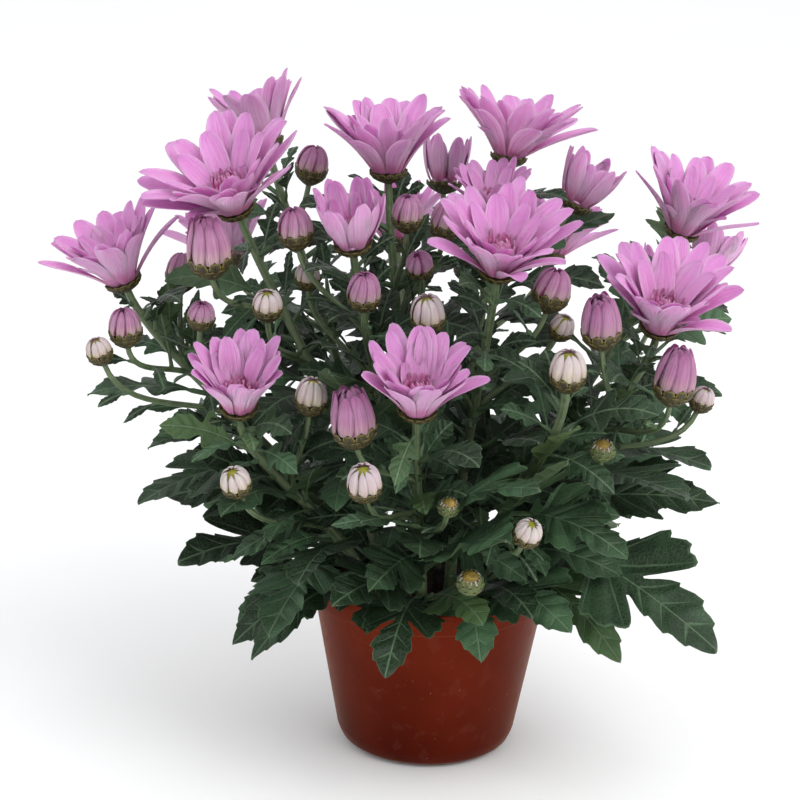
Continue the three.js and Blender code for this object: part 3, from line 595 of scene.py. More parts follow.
def petal_half(s, foot, widest, blunt):
    """Half a petal's width, as a share of its widest: a narrow foot, long flanks and a rounded tip."""
    flank = foot + (1 - foot) * smooth_step(s / widest) ** 0.8
    past = max(0, (s - widest) / (1 - widest))
    return flank * math.sqrt(max(0, 1 - past ** blunt))


def add_petal(bm, head, form, finishes=(0, 1), rows=PETAL_ROWS, columns=PETAL_COLUMNS):
    """One petal of a head. form: its turn about the axis, its rise and how that changes on the way (bend,
    and curl at the tip), how long it is, half (its half width), start and lift of its foot, how it is
    cupped, sways and twists, where it is widest, how blunt its tip is, and its tone."""
    axis, across, away = head_frame(head.lean)
    out = across * math.cos(form.turn) + away * math.sin(form.turn)
    side = out.cross(axis)
    centre = head.neck + axis * form.lift + out * form.start
    lines = []
    last = 0

    def rise_at(s):
        return form.rise + form.bend * s + form.curl * max(0, s - 0.55) ** 2 / 0.2

    for s in rows:
        step = (s - last) * form.long / 2
        for part in (0.25, 0.75):
            angle = rise_at(last + (s - last) * part)
            centre = centre + (out * math.cos(angle) + axis * math.sin(angle)) * step
        last = s
        angle = rise_at(s)
        through = axis * math.cos(angle) - out * math.sin(angle)
        turn = form.twist * s
        level = side * math.cos(turn) + through * math.sin(turn)
        upright = through * math.cos(turn) - side * math.sin(turn)
        half = form.half * petal_half(s, form.foot, form.widest, form.blunt)
        lines.append((centre + side * (form.sway * form.long * s * s), level, upright, half, s))

    def surface(place, row):
        centre, level, upright, half, s = lines[row]
        hollow = half * form.cupped * place * place
        groove = GROOVE * math.cos(2 * math.pi * place * 1.5) * math.sin(math.pi * min(1, s * 1.1)) ** 0.5
        ripple = form.half * 0.05 * math.sin(7 * s + 9 * form.tone + place) * abs(place)
        point = centre + level * (place * half) + upright * (hollow + groove + ripple)
        return point, upright, PETAL_THICKNESS, (place, s, form.long)

    add_blade(bm, columns, len(rows) - 1, surface, form.tone, finishes)


def petal_form(draw, **values):
    """A petal's form, with small seeded differences where no value is given."""
    form = SimpleNamespace(curl=draw(-0.15, 0.5), sway=draw(-0.07, 0.07), twist=draw(-0.22, 0.22),
                           foot=draw(0.42, 0.52), widest=draw(0.5, 0.62), blunt=draw(1.9, 2.5),
                           tone=draw(0, 1), cupped=draw(0.24, 0.4))
    form.__dict__.update(values)
    return form


def cup_radius(head):
    return head.size * BUD_CUP_WIDE if is_bud(head) else BLOOM_CUP_RADIUS


def cup_height(head):
    return head.size * BUD_CUP_TALL if is_bud(head) else BLOOM_CUP_HEIGHT


def over_dish(head, distance):
    """How high something may start over the cup's dish at a distance from its axis."""
    slope = (CUP_DISH + CUP_TOOTH) / cup_radius(head)
    return cup_height(head) - CUP_DISH + slope * distance + SEAT_GAP * 1.3


def add_ring(bm, head, plan, ring, draw, fine):
    """A ring of petals. draw places them, and fine gives them their small differences."""
    rise = min(head.rise + ring.steeper, ring.steepest)
    for i in range(ring.count):
        turn = ((i + ring.shift) / ring.count) * 2 * math.pi + draw(-0.09, 0.09)
        climb = rise + plan.foot + draw(-ring.spread, ring.spread)
        long = head.size * ring.share * draw(0.92, 1.08)
        change = plan.bend + draw(-0.09, 0.09)
        half = head.size * PETAL_WIDTH * ring.wide * draw(0.92, 1.08) * fine(0.4, 0.53)
        # A petal of the solid takes how it is cupped from one more draw
        draw(0.1, 0.2)
        form = petal_form(fine, turn=turn, rise=climb, long=long, bend=change, half=half, start=ring.start,
                          lift=cup_height(head) + ring.lift)
        add_petal(bm, head, form)


def add_eye(bm, head, fine, count):
    """The tuft of short rolled petals in the middle of a head, the shortest and highest in the middle."""
    seat = cup_height(head)
    scale = head.size / EYE_HEAD
    tuft = [(0, seat + 1), (5.6, seat + 1.4)]
    tuft += [(radius, seat + height * scale) for radius, height in ((6, 8), (4, 11), (0, 11.6))]
    add_round(bm, head, tuft, 16, 0.5, 3)
    for i in range(count):
        out = i / count
        form = petal_form(
            fine, turn=i * GOLDEN_TURN, rise=1.0 + 0.4 * (1 - out) + fine(-0.12, 0.12), bend=fine(0.2, 0.9),
            curl=0.4, long=head.size * (0.11 + 0.15 * out) * fine(0.8, 1.2), half=fine(1, 1.4),
            start=0.8 + 6 * out, lift=seat + (11.2 - 6 * out * out) * scale,
            cupped=0.75, foot=0.6, widest=0.7)
        add_petal(bm, head, form, finishes=(2, 2), rows=EYE_ROWS, columns=EYE_COLUMNS)


def dress_bloom(head, seed):
    """The petals of one open or half-open head."""
    bm = new_mesh()
    draw = seeded_draws(seed)
    fine = seeded_draws(seed + FINE_SEEDS)
    plan = HALF_OPEN if head.rise > HALF_OPEN_RISE else OPEN
    seat = cup_height(head)
    core = [(0, over_dish(head, 0)), (7, over_dish(head, 7))]
    core += [(6.8, seat + 1.4), (5, seat + 2.8), (0, seat + 3.2)]
    add_round(bm, head, core, 20, 0.5, 1)
    for ring in plan.rings:
        add_ring(bm, head, plan, ring, draw, fine)
    add_eye(bm, head, fine, plan.eye_petals)
    finishes = [PETAL_FACE, PETAL_BACK, PETAL_EYE, PETAL_DEPTH]
    finish_piece(bm, "petals_" + head.name, [head.name], finishes)


# Buds

def bud_size(head):
    """Where a bud's petals start on its cup, and how tall they stand."""
    r = head.size
    return over_dish(head, r), r * (1.9 if r > LARGE_BUD else 1.42 if r > MIDDLE_BUD else 1.15)


def add_bud_petal(bm, head, turn, form):
    """One petal folded over the dome of a bud. form: its half width as an angle, how far up it ends, how
    far its tip stands off (flare), how it winds round the bud (spiral), its shares of the bud's radius and
    height, how square the dome is, how blunt the petal's tip is, and its tone."""
    axis, across, away = head_frame(head.lean)
    r = head.size
    seat, tall = bud_size(head)

    def surface(place, row):
        s = BUD_ROWS[row]
        climb = s * form.end * math.pi / 2
        phi = turn + place * form.wide * petal_half(s, 0.8, 0.5, form.blunt) + form.spiral * s
        crown = 0.055 * r * (1 - place * place) + 0.05 * r * place
        off = form.flare * r * max(0, s - 0.45) ** 2 / 0.3
        radius = r * (0.91 * form.share * math.cos(climb) ** form.square) + crown + off
        height = seat - 0.2 + (tall * form.tall - 0.07 * r) * math.sin(climb) + off * 0.4
        out = across * math.cos(phi) + away * math.sin(phi)
        through = out * math.cos(climb) + axis * math.sin(climb)
        return head.neck + out * radius + axis * height, -through, 0.45, (place, s, r)

    add_blade(bm, BUD_COLUMNS, len(BUD_ROWS) - 1, surface, form.tone, finishes=(1, 0))


def bud_rings(large, white):
    """The rings of petals of a bud: how many, and at what share of its radius."""
    if large:
        return [(8, 1), (7, 0.8), (5, 0.56)]
    return [(9, 1)] if white else [(9, 1), (6, 0.86)]


def bud_petal_form(large, white, share, fine):
    """How a bud's petal ends, stands off, winds and stands tall. A large bud's outer ring starts to open."""
    def form(end, flare, spiral, blunt, tall):
        return SimpleNamespace(end=end, flare=flare, spiral=spiral, blunt=blunt, tall=tall)

    if large and share == 1:
        return form(fine(0.76, 0.92), fine(0, 0.3), spiral=0.14, blunt=1.7, tall=0.97)
    if large:
        return form(fine(0.9, 1), fine(0, 0.08), spiral=0.3, blunt=2, tall=fine(0.94, 1.02))
    if white:
        return form(fine(0.88, 0.95), fine(0, 0.04), spiral=0.06, blunt=1.5, tall=1)
    return form(fine(0.9, 1), fine(0, 0.08), spiral=0.24, blunt=1.9, tall=0.4 + 0.6 * share)


def dress_bud(head, seed, white):
    """The closed petals of one bud. Large ones start to open, and white ones leave a gap like a star."""
    bm = new_mesh()
    fine = seeded_draws(seed + FINE_SEEDS)
    r = head.size
    seat, tall = bud_size(head)
    large = r > LARGE_BUD and not white
    square = 0.6 if white else 0.74
    own = fine(0, 1)
    inside = 0.5 if large else 0.88
    heart = [(0, over_dish(head, 0))]
    for i in range(8):
        climb = i / 7 * math.pi / 2
        height = seat - 0.2 + (tall - 0.14 * r) * inside * math.sin(climb)
        heart.append((r * inside * math.cos(climb) ** square, height))
    add_round(bm, head, heart, 20, 0.5, 2)
    for count, share in bud_rings(large, white):
        for i in range(count):
            form = bud_petal_form(large, white, share, fine)
            form.wide = 4.1 / count * fine(0.84, 1.16)
            form.share = share
            form.square = square
            form.tone = 0.75 * own + 0.25 * fine(0, 1)
            add_bud_petal(bm, head, (i + fine(-0.16, 0.16)) / count * 2 * math.pi + share, form)
    # A pink bud's heart takes a dark magenta finish, partly painted shade.
    finishes = [BUD_WHITE, BUD_WHITE, BUD_HEART] if white else [BUD_PINK, BUD_PINK, BUD_SHADED_HEART]
    finish_piece(bm, "petals_" + head.name, [head.name], finishes)


# Stems, cups and green buds

def add_bract(bm, head, turn, wide, foot, tall, bowl, tone, finish=1):
    """One scale of a cup. It lies on the bowl, whose radius at a height is bowl(height)."""
    axis, across, away = head_frame(head.lean)

    def surface(place, row):
        s = BRACT_ROWS[row]
        height = foot + tall * s
        phi = turn + place * wide * petal_half(s, 0.85, 0.55, 2)
        out = across * math.cos(phi) + away * math.sin(phi)
        radius = bowl(height) + 0.3 + 0.55 * s * s - 0.25 * place * place
        return head.neck + out * radius + axis * height, out, 0.5, (place, s, 0)

    add_blade(bm, BRACT_COLUMNS, len(BRACT_ROWS) - 1, surface, tone, finishes=(finish, finish))


def add_cup(bm, head, fine):
    """The green cup under a head: a dished bowl, covered by rows of scales."""
    radius, height = cup_radius(head), cup_height(head)

    def bowl(at):
        up = min(max((at + CUP_ROOT) / (height + CUP_ROOT), 0), 1)
        return radius * 0.94 * math.sin(up * math.pi / 2) ** 0.8

    heights = [-CUP_ROOT + (height + CUP_ROOT) * (i / 6) ** 1.3 for i in range(7)]
    profile = [(bowl(at), at) for at in heights]
    profile += [(radius * 0.5, height - CUP_DISH * 0.7), (0, height - CUP_DISH)]
    add_round(bm, head, profile, 16, 0.5, 1)
    count, reach = (10, 0.92) if is_bud(head) else (13, 0.8)
    for ring, (foot, tall) in enumerate(((-0.12, 0.62), (0.12, 0.76), (0.4, reach))):
        for i in range(count):
            turn = (i + ring / 2) / count * 2 * math.pi + fine(-0.05, 0.05)
            long = tall * height * fine(0.92, 1.08)
            add_bract(bm, head, turn, 3 / count, foot * height, long, bowl, fine(0, 1))


def add_green_bud(bm, head, fine):
    """A tight bud: three rings of scales round a yellow-green top, with thin white petal tips over it."""
    r = head.size
    scales = 10
    tips = 13

    def bowl(at):
        up = min(max((at + CUP_ROOT) / (1.62 * r + CUP_ROOT), 0), 1)
        return r * 0.96 * math.sin(math.pi * up ** 0.75) ** 0.55 if 0 < up < 1 else 0

    heights = [-CUP_ROOT + (GREEN_BUD_TOP * r + CUP_ROOT) * i / 9 for i in range(9)]
    add_round(bm, head, [(bowl(at), at) for at in heights] + [(0, GREEN_BUD_TOP * r)], 16, 0.9, 2)
    for ring, (foot, tall) in enumerate(((-0.1, 0.75), (0.2, 0.8), (0.5, 0.85))):
        for i in range(scales):
            turn = (i + ring / 2) / scales * 2 * math.pi + fine(-0.06, 0.06)
            long = tall * r * fine(0.92, 1.05)
            add_bract(bm, head, turn, 0.32, foot * r, long, bowl, fine(0, 1), finish=4)
    for i in range(tips):
        long = 0.5 * r * fine(0.9, 1.1)
        add_bract(bm, head, i / tips * 2 * math.pi, 0.12, 0.9 * r, long, bowl, fine(0, 1), finish=3)


def add_stem(bm, curve, start_radius, end_radius, sides, steps, tone, post=0):
    """A ridged stem along a curve. post: how far it goes on straight down below its start."""
    def ridged(radius):
        return lambda turn: radius * (1 + RIDGE * math.cos(5 * turn))

    rings = []
    for i in range(steps + 1):
        at = i / steps
        heading = curve.heading(at)
        side = heading.cross(AWAY).normalized()
        radius = start_radius + (end_radius - start_radius) * at
        rings.append((curve.point(at), side, heading.cross(side), ridged(radius), at))
    top, side, front = rings[-1][:3]
    rings.append((top, side, front, 0, 1))
    start, side, front, reach, at = rings[0]
    foot = start - UP * post
    if post:
        rings.insert(0, (foot, side, front, reach, at))
    rings.insert(0, (foot, side, front, 0, 0))
    add_tube(bm, sides, rings, tone)


def dress_stems(shoot, stem, seed):
    """The stem, side stalks, cups and green buds of one shoot."""
    bm = new_mesh()
    fine = seeded_draws(seed + FINE_SEEDS)
    add_stem(bm, stem, STEM_FOOT_RADIUS, STEM_NECK_RADIUS, 20, 26, fine(0, 1), post=BURIED + STUB_TOP)
    for head in shoot.heads[1:] + shoot.green_buds:
        add_stem(bm, stalk_curve(stem, head), STALK_RADIUS, STALK_RADIUS * 0.9, 10, 14, fine(0, 1))
    for head in shoot.heads:
        add_cup(bm, head, fine)
    for head in shoot.green_buds:
        add_green_bud(bm, head, fine)
    finishes = [STEM_SKIN, CUP_SCALE, GREEN_HEART, BUD_WHITE, GREEN_SCALE]
    finish_piece(bm, "stems_" + shoot.name, [shoot.name], finishes)


# Leaves

def leaf_plan(start, tip, arch, broad, roll):
    return SimpleNamespace(start=start, tip=tip, arch=arch, broad=broad, roll=roll)


def blade_length(plan):
    """The length of a leaf without its stalk."""
    return (plan.tip - plan.start).length / (1 + PETIOLE)


def leaf_lines(plan, rows):
    """For each row of a leaf: its point on the midrib, its two points on the edge and the way through it."""
    middle = plan.start.lerp(plan.tip, 0.5) + UP * plan.arch
    lightwards = middle.xy.to_3d().normalized() * LEAF_TILT - AWAY * LEAF_FACING
    run = Curve(plan.start, middle, plan.tip)
    long = blade_length(plan)

    def along_run(at):
        at = (at + PETIOLE) / (1 + PETIOLE)
        heading = run.heading(at)
        side = heading.cross(UP).normalized()
        side.rotate(Matrix.Rotation(plan.roll + side.dot(lightwards), 3, heading))
        return run.point(at), side, side.cross(heading)

    lines = []
    for row in rows:
        rib, _, through = along_run(row.rib)
        point, side, up = along_run(row.along)
        reach = row.out * long * (plan.broad if row.along >= 0 else 1)
        edges = [point + side * (place * reach) + up * (reach * LEAF_FOLD) for place in (-1, 1)]
        lines.append(SimpleNamespace(rib=rib, edges=edges, through=through, reach=reach, row=row))
    return lines


def petiole_rows(long):
    """Rows of a leaf's stalk, from the stem to the foot of its blade."""
    half = PETIOLE_HALF / long
    places = ((-PETIOLE, 0), (0.01 - PETIOLE, half * 1.3), (-0.2, half), (-0.08, half * 0.9))
    return [SimpleNamespace(rib=at, along=at, out=out, vein=0) for at, out in places]


def add_leaf(bm, plan, shape, fine, columns=LEAF_COLUMNS):
    """One leaf, on the form that its plan gives, with quilted panels between its veins and a wavy edge."""
    long = blade_length(plan)
    lines = leaf_lines(plan, petiole_rows(long) + shape)
    phases = [fine(0, 2 * math.pi), fine(0, 2 * math.pi)]
    trims = [fine(0, 2 * math.pi), fine(0, 2 * math.pi)]
    wave = long * fine(0.012, 0.03)
    curl = long * fine(-0.02, 0.06)
    last = len(lines) - 1

    def surface(place, row):
        line = lines[row]
        away = abs(place) ** 0.9
        side = 0 if place < 0 else 1
        in_blade = line.row.along >= 0
        trim = 1 + UNEVEN * math.sin(9 * line.row.along + trims[side]) if in_blade else 1
        point = line.rib.lerp(line.edges[side], away * trim)
        if in_blade:
            phase = phases[side]
            quilt = -QUILT * long * math.cos(2 * math.pi * line.row.vein) * away * (1 - away) * 4
            ripple = wave * away * away * math.sin(2 * math.pi * 1.6 * line.row.along + phase)
            droop = -curl * (line.reach * away / long / 0.3) ** 2 - curl * line.row.rib ** 3
            point = point + line.through * (quilt + ripple + droop)
        thickness = (LEAF_THICKNESS if in_blade else 1.6) * (1 + 0.9 * (1 - away) ** 4)
        reach = line.reach * away if in_blade else 0
        return point, line.through, thickness, (place, line.row.vein, reach)

    # Leaves nearer the middle of the plant get a lower tone, which their finish paints darker: painted shade
    # of the plant's inside.
    outside = smooth_step((plan.tip.xy.length - 30) / 90)
    add_blade(bm, columns, last, surface, fine(0, 1) * (0.3 + 0.7 * outside))


def shape_for(long):
    """The outline of a leaf of some length: small leaves have three lobes."""
    return THREE_LOBED if long < SMALL_LEAF_LENGTH else LOBED


def leaf_plans(shoot, stem, seed):
    """The leaves that a shoot's solid bears: the chosen ones, then the rule's, going up the stem."""
    draw = seeded_draws(seed)
    plans = []
    for on, tip, arch, broad in shoot.chosen_leaves:
        plans.append(leaf_plan(stem.point(on), Vector(tip), arch, broad, draw(-0.25, 0.25)))
    first_turn = draw(0, 2 * math.pi)
    for i in range(shoot.ruled_leaves):
        on = LOWEST_LEAF + (LEAFY_SHARE * (i + draw(-0.2, 0.2))) / (shoot.ruled_leaves - 1)
        turn = first_turn + i * TURN_STEP + draw(-0.25, 0.25)
        long = (LOW_LEAF - LEAF_LOSS * on) * draw(0.88, 1.1)
        rise = LOW_RISE + RISE_GAIN * on + draw(-0.12, 0.12)
        start = stem.point(on)
        level = math.cos(rise)
        run = Vector((math.cos(turn) * level, math.sin(turn) * level, math.sin(rise))) * long
        arch = long * draw(0.16, 0.28)
        broad = draw(0.9, 1.1)
        plans.append(leaf_plan(start, start + run, arch, broad, draw(-0.3, 0.3)))
    return plans


def bent(plan, swing, lift, size):
    """A leaf plan swung, lifted and shortened."""
    run = (plan.tip - plan.start) * size
    run.rotate(Matrix.Rotation(swing, 3, UP))
    run.z += lift * run.length
    return leaf_plan(plan.start, plan.start + run, plan.arch, plan.broad, plan.roll)


def built_leaf(plan, solid):
    """The leaf as the shoot's solid bears it, which is the plan or a bent one, or nothing if it has none."""
    for size in LEAF_SIZES:
        for lift in LEAF_LIFTS:
            for swing in LEAF_SWINGS:
                tried = bent(plan, swing, lift, size)
                if lies_on(tried, solid):
                    return tried
    return None


def lies_on(plan, solid):
    """Whether a leaf's tip and the tips of its lobes lie on a solid."""
    if solid.find_nearest(plan.tip, FOUND_WITHIN)[0] is None:
        return False
    tips = SMALL_LEAF_TIPS if blade_length(plan) < SMALL_LEAF_LENGTH else LARGE_LEAF_TIPS
    points = [edge for line in leaf_lines(plan, tips) for edge in line.edges]
    return all(solid.find_nearest(point, FOUND_WITHIN)[0] is not None for point in points)


def solid_tree(names):
    """The triangles of some of the frame's nodes, in millimetres, to measure to and to cross."""
    points, faces = [], []
    for name in names:
        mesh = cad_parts[name].data
        first = len(points)
        points.extend(vert.co / MM for vert in mesh.vertices)
        faces.extend([first + i for i in face.vertices] for face in mesh.polygons)
    return BVHTree.FromPolygons(points, faces)


def coarse_leaf(plan, shape):
    """A leaf, from a little below its blade, as a few faces, to find what it would cross."""
    foot = SimpleNamespace(rib=-0.12, along=-0.12, out=0.02, vein=0)
    lines = leaf_lines(plan, [foot] + shape[::4])
    points, faces = [], []
    for line in lines:
        points.extend((line.edges[0], line.rib, line.edges[1]))
    for i in range(len(lines) - 1):
        for k in (0, 1):
            a = 3 * i + k
            faces.append((a, a + 1, a + 4, a + 3))
    return BVHTree.FromPolygons(points, faces), points


def in_box(points):
    low, high = FRAME_LOW / MM, FRAME_HIGH / MM
    return all(low[k] < p[k] < high[k] for p in points for k in range(3))


def shows_rim(points):
    """Whether a leaf leaves the pot's rim bare on its right side."""
    over = POT_HEIGHT + RIM_CLEAR
    return all(p.z > over or p.xy.length < BODY_TOP_RADIUS or p.x < RIM_SHOWN_FROM for p in points)


def try_leaf(standing, shape, make_plan):
    """The first of a few seeded plans whose leaf crosses nothing that stands, which then stands too."""
    for _ in range(TRIES):
        plan = make_plan()
        tree, points = coarse_leaf(plan, shape)
        if in_box(points) and shows_rim(points) and not any(tree.overlap(other) for other in standing):
            standing.append(tree)
            return plan
    return None


def growing_from(start, heading, long, draw, spread, arch):
    """A leaf plan that leaves a stem sideways, at an angle to its heading that spread gives."""
    turn = draw(0, 2 * math.pi)
    side = heading.orthogonal().normalized()
    side.rotate(Matrix.Rotation(turn, 3, heading))
    angle = draw(*spread)
    run = (heading * math.cos(angle) + side * math.sin(angle)).normalized() * long
    return leaf_plan(start, start + run, long * draw(*arch), draw(0.85, 1.1), draw(-0.4, 0.4))


def more_leaves(shoot, stem, standing, fine):
    """Leaves between those of the solid: along the stem, then small ones on the side stalks."""
    found = []
    for i in range(STEM_LEAVES):
        on = 0.04 + 0.9 * (max(0, i + fine(-0.3, 0.3)) / (STEM_LEAVES - 1)) ** 1.1
        on = min(max(on, 0.02), 0.97)
        longest = 88 - 58 * on
        shape = shape_for(longest * 0.8)
        plan = try_leaf(standing, shape, lambda: growing_from(
            stem.point(on), stem.heading(on), longest * fine(0.55, 1), fine, (0.7, 1.75), (0.08, 0.26)))
        if plan:
            found.append((plan, shape_for((plan.tip - plan.start).length)))
    for head in shoot.heads[1:] + shoot.green_buds:
        stalk = stalk_curve(stem, head)
        for on in STALK_PLACES:
            longest = 50 - 34 * on
            plan = try_leaf(standing, NARROW, lambda: growing_from(
                stalk.point(on), stalk.heading(on), longest * fine(0.6, 1), fine, (0.5, 1.2), (0.05, 0.2)))
            if plan:
                found.append((plan, NARROW if on > 0.3 else THREE_LOBED))
    return found


def dress_leaves(shoot, stem, seed, solid, standing):
    """All leaves of one shoot."""
    bm = new_mesh()
    fine = seeded_draws(seed + FINE_LEAF_SEEDS)
    for planned in leaf_plans(shoot, stem, seed):
        plan = built_leaf(planned, solid)
        if plan:
            add_leaf(bm, plan, shape_for(blade_length(plan)), fine)
    for plan, shape in more_leaves(shoot, stem, standing, fine):
        add_leaf(bm, plan, shape, fine, ADDED_LEAF_COLUMNS)
    finish_piece(bm, "leaves_" + shoot.name, [shoot.name], [LEAF_FACE, LEAF_BACK])


# Finishes

def paint(red, green, blue):
    """A colour given as it shows on a screen, 0 to 255, as the linear colour that shaders take."""
    def linear(part):
        part /= 255
        return part / 12.92 if part <= 0.04045 else ((part + 0.055) / 1.055) ** 2.4

    return (linear(red), linear(green), linear(blue), 1)


class Wiring:
    """Places and joins the nodes of one material or shader group."""

    def __init__(self, tree):
        self.tree = tree

    def add(self, kind, values=None, **settings):
        node = self.tree.nodes.new(kind)
        for key, value in settings.items():
            setattr(node, key, value)
        for key, value in (values or {}).items():
            self.feed(node.inputs[key], value)
        return node

    def feed(self, socket, value):
        if isinstance(value, bpy.types.NodeSocket):
            self.tree.links.new(value, socket)
        else:
            socket.default_value = value

    def math(self, operation, a, b=0.0):
        return self.add("ShaderNodeMath", {0: a, 1: b}, operation=operation).outputs[0]

    def fade(self, value, low, high, start=0.0, end=1.0):
        values = {"Value": value, "From Min": low, "From Max": high, "To Min": start, "To Max": end}
        return self.add("ShaderNodeMapRange", values, interpolation_type="SMOOTHSTEP").outputs["Result"]

    def mix(self, share, a, b):
        return self.add("ShaderNodeMix", {0: share, 6: a, 7: b}, data_type="RGBA").outputs[2]

    def parts(self, vector):
        return self.add("ShaderNodeSeparateXYZ", {"Vector": vector}).outputs

    def group(self, tree, **values):
        node = self.tree.nodes.new("ShaderNodeGroup")
        node.node_tree = tree
        for key, value in values.items():
            self.feed(node.inputs[key], value)
        return node.outputs

    def attribute(self, name):
        return self.add("ShaderNodeAttribute", attribute_name=name, attribute_type="GEOMETRY").outputs


def shader_group(name, inputs, outputs):
    """An empty shader group. inputs and outputs: socket names with their kinds."""
    tree = bpy.data.node_groups.new(name, "ShaderNodeTree")
    for in_out, sockets in (("INPUT", inputs), ("OUTPUT", outputs)):
        for key, kind in sockets.items():
            tree.interface.new_socket(name=key, in_out=in_out, socket_type=kind)
    wiring = Wiring(tree)
    return tree, wiring, wiring.add("NodeGroupInput").outputs, wiring.add("NodeGroupOutput").inputs


NUMBER, VECTOR = "NodeSocketFloat", "NodeSocketVector"


def make_mottle():
    """Soft cloudy patches in space. Size: how many to a metre."""
    inputs = {"Place": VECTOR, "Size": NUMBER}
    tree, wiring, given, result = shader_group("mottle", inputs, {"Mask": NUMBER})
    values = {"Vector": given["Place"], "Scale": given["Size"], "Detail": 3.0}
    cloud = wiring.add("ShaderNodeTexNoise", values)
    wiring.feed(result["Mask"], wiring.fade(cloud.outputs["Fac"], 0.3, 0.7))
    return tree


def make_streaks():
    """Fine lines that run down a blade or stem. Across: how many over half its width. Along: how often they
    break on its length."""
    inputs = {"Spot": VECTOR, "Tone": NUMBER, "Across": NUMBER, "Along": NUMBER}
    tree, wiring, given, result = shader_group("streaks", inputs, {"Mask": NUMBER})
    place = wiring.parts(given["Spot"])
    stretched = wiring.add("ShaderNodeCombineXYZ", {
        "X": wiring.math("MULTIPLY", place["X"], given["Across"]),
        "Y": wiring.math("MULTIPLY", place["Y"], given["Along"]),
        "Z": wiring.math("MULTIPLY", given["Tone"], 37.0)}).outputs[0]
    lines = wiring.add("ShaderNodeTexNoise", {"Vector": stretched, "Scale": 1.0, "Detail": 2.0})
    wiring.feed(result["Mask"], wiring.fade(lines.outputs["Fac"], 0.34, 0.66))
    return tree


def make_leaf_veins():
    """The veins of a leaf from its spots: a midrib, a vein to each tooth, and a fine net between them."""
    tree, wiring, given, result = shader_group(
        "leaf_veins", {"Spot": VECTOR, "Place": VECTOR}, {"Veins": NUMBER, "Height": NUMBER, "Net": NUMBER})
    place = wiring.parts(given["Spot"])
    side = wiring.math("ABSOLUTE", place["X"])
    midrib = wiring.fade(wiring.math("ABSOLUTE", place["Z"]), 0.25, 0.8, 1.0, 0.0)
    off_vein = wiring.math("PINGPONG", place["Y"], 0.5)
    width = wiring.fade(side, 0.0, 1.0, 0.085, 0.02)
    near = wiring.math("SUBTRACT", 1.0, wiring.math("DIVIDE", off_vein, width))
    tooth_vein = wiring.fade(near, 0.0, 0.9)
    in_blade = wiring.fade(place["Y"], 0.05, 0.3)
    fading = wiring.math("MULTIPLY", wiring.math("MULTIPLY", tooth_vein, in_blade),
                         wiring.fade(side, 0.5, 1.0, 0.75, 0.2))
    veins = wiring.math("MAXIMUM", midrib, fading)
    cells = {"Vector": given["Place"], "Scale": 420.0}
    net = wiring.add("ShaderNodeTexVoronoi", cells, feature="DISTANCE_TO_EDGE")
    mesh = wiring.fade(net.outputs["Distance"], 0.0, 0.12, 1.0, 0.0)
    panels = wiring.fade(off_vein, 0.0, 0.5)
    height = wiring.math("SUBTRACT", wiring.math("MULTIPLY", panels, 0.7),
                         wiring.math("MULTIPLY", veins, 0.9))
    wiring.feed(result["Veins"], veins)
    wiring.feed(result["Net"], mesh)
    wiring.feed(result["Height"], wiring.math("SUBTRACT", height, wiring.math("MULTIPLY", mesh, 0.22)))
    return tree


MOTTLE = make_mottle()
STREAKS = make_streaks()
LEAF_VEINS = make_leaf_veins()


def new_finish(name, **constants):
    """A material with plain values for its shader. Returns it, its wiring and the shader's sockets."""
    material = bpy.data.materials.new(name)
    material.use_nodes = True
    wiring = Wiring(material.node_tree)
    sockets = material.node_tree.nodes["Principled BSDF"].inputs
    for key, value in constants.items():
        sockets[key.replace("_", " ").title().replace("Ior", "IOR")].default_value = value
    return material, wiring, sockets


def object_place(wiring):
    return wiring.add("ShaderNodeTexCoord").outputs["Object"]


def raised(wiring, sockets, height, depth):
    """A bump whose full height is depth millimetres."""
    bump = wiring.add("ShaderNodeBump", {"Height": height, "Distance": depth * MM, "Strength": 1.0})
    wiring.feed(sockets["Normal"], bump.outputs["Normal"])


def leaf_finish(name, dark, light, young, vein, roughness, depth):
    """Leaf skin: colour by leaf and in patches, darker as painted shade where the tone is low, paler veins,
    and panels raised between them.
    """
    material, wiring, sockets = new_finish(name, specular_ior_level=0.25)
    place = object_place(wiring)
    spot, tone = wiring.attribute("spot")["Vector"], wiring.attribute("tone")["Fac"]
    veins = wiring.group(LEAF_VEINS, Spot=spot, Place=place)
    patches = wiring.group(MOTTLE, Place=place, Size=45.0)["Mask"]
    grains = wiring.group(MOTTLE, Place=place, Size=900.0)["Mask"]
    patches = wiring.fade(patches, 0.0, 1.0, 0.35, 1.0)
    # A low tone, which the leaves nearer the plant's middle get, draws the colour towards dark: painted
    # shade.
    lightness = wiring.math("MULTIPLY", patches, wiring.fade(tone, 0.0, 1.0, 0.06, 1.0))
    colour = wiring.mix(lightness, dark, light)
    colour = wiring.mix(wiring.fade(tone, 0.84, 1.0, 0.0, 0.5), colour, young)
    colour = wiring.mix(wiring.math("MULTIPLY", grains, 0.16), colour, light)
    colour = wiring.mix(wiring.math("MULTIPLY", veins["Net"], 0.08), colour, vein)
    colour = wiring.mix(wiring.math("MULTIPLY", veins["Veins"], 0.38), colour, vein)
    rim = wiring.fade(wiring.math("ABSOLUTE", wiring.parts(spot)["X"]), 0.94, 1.0, 0.0, 0.3)
    wiring.feed(sockets["Base Color"], wiring.mix(rim, colour, vein))
    wiring.feed(sockets["Roughness"], wiring.fade(grains, 0.0, 1.0, roughness - 0.07, roughness + 0.1))
    raised(wiring, sockets, veins["Height"], depth)
    return material


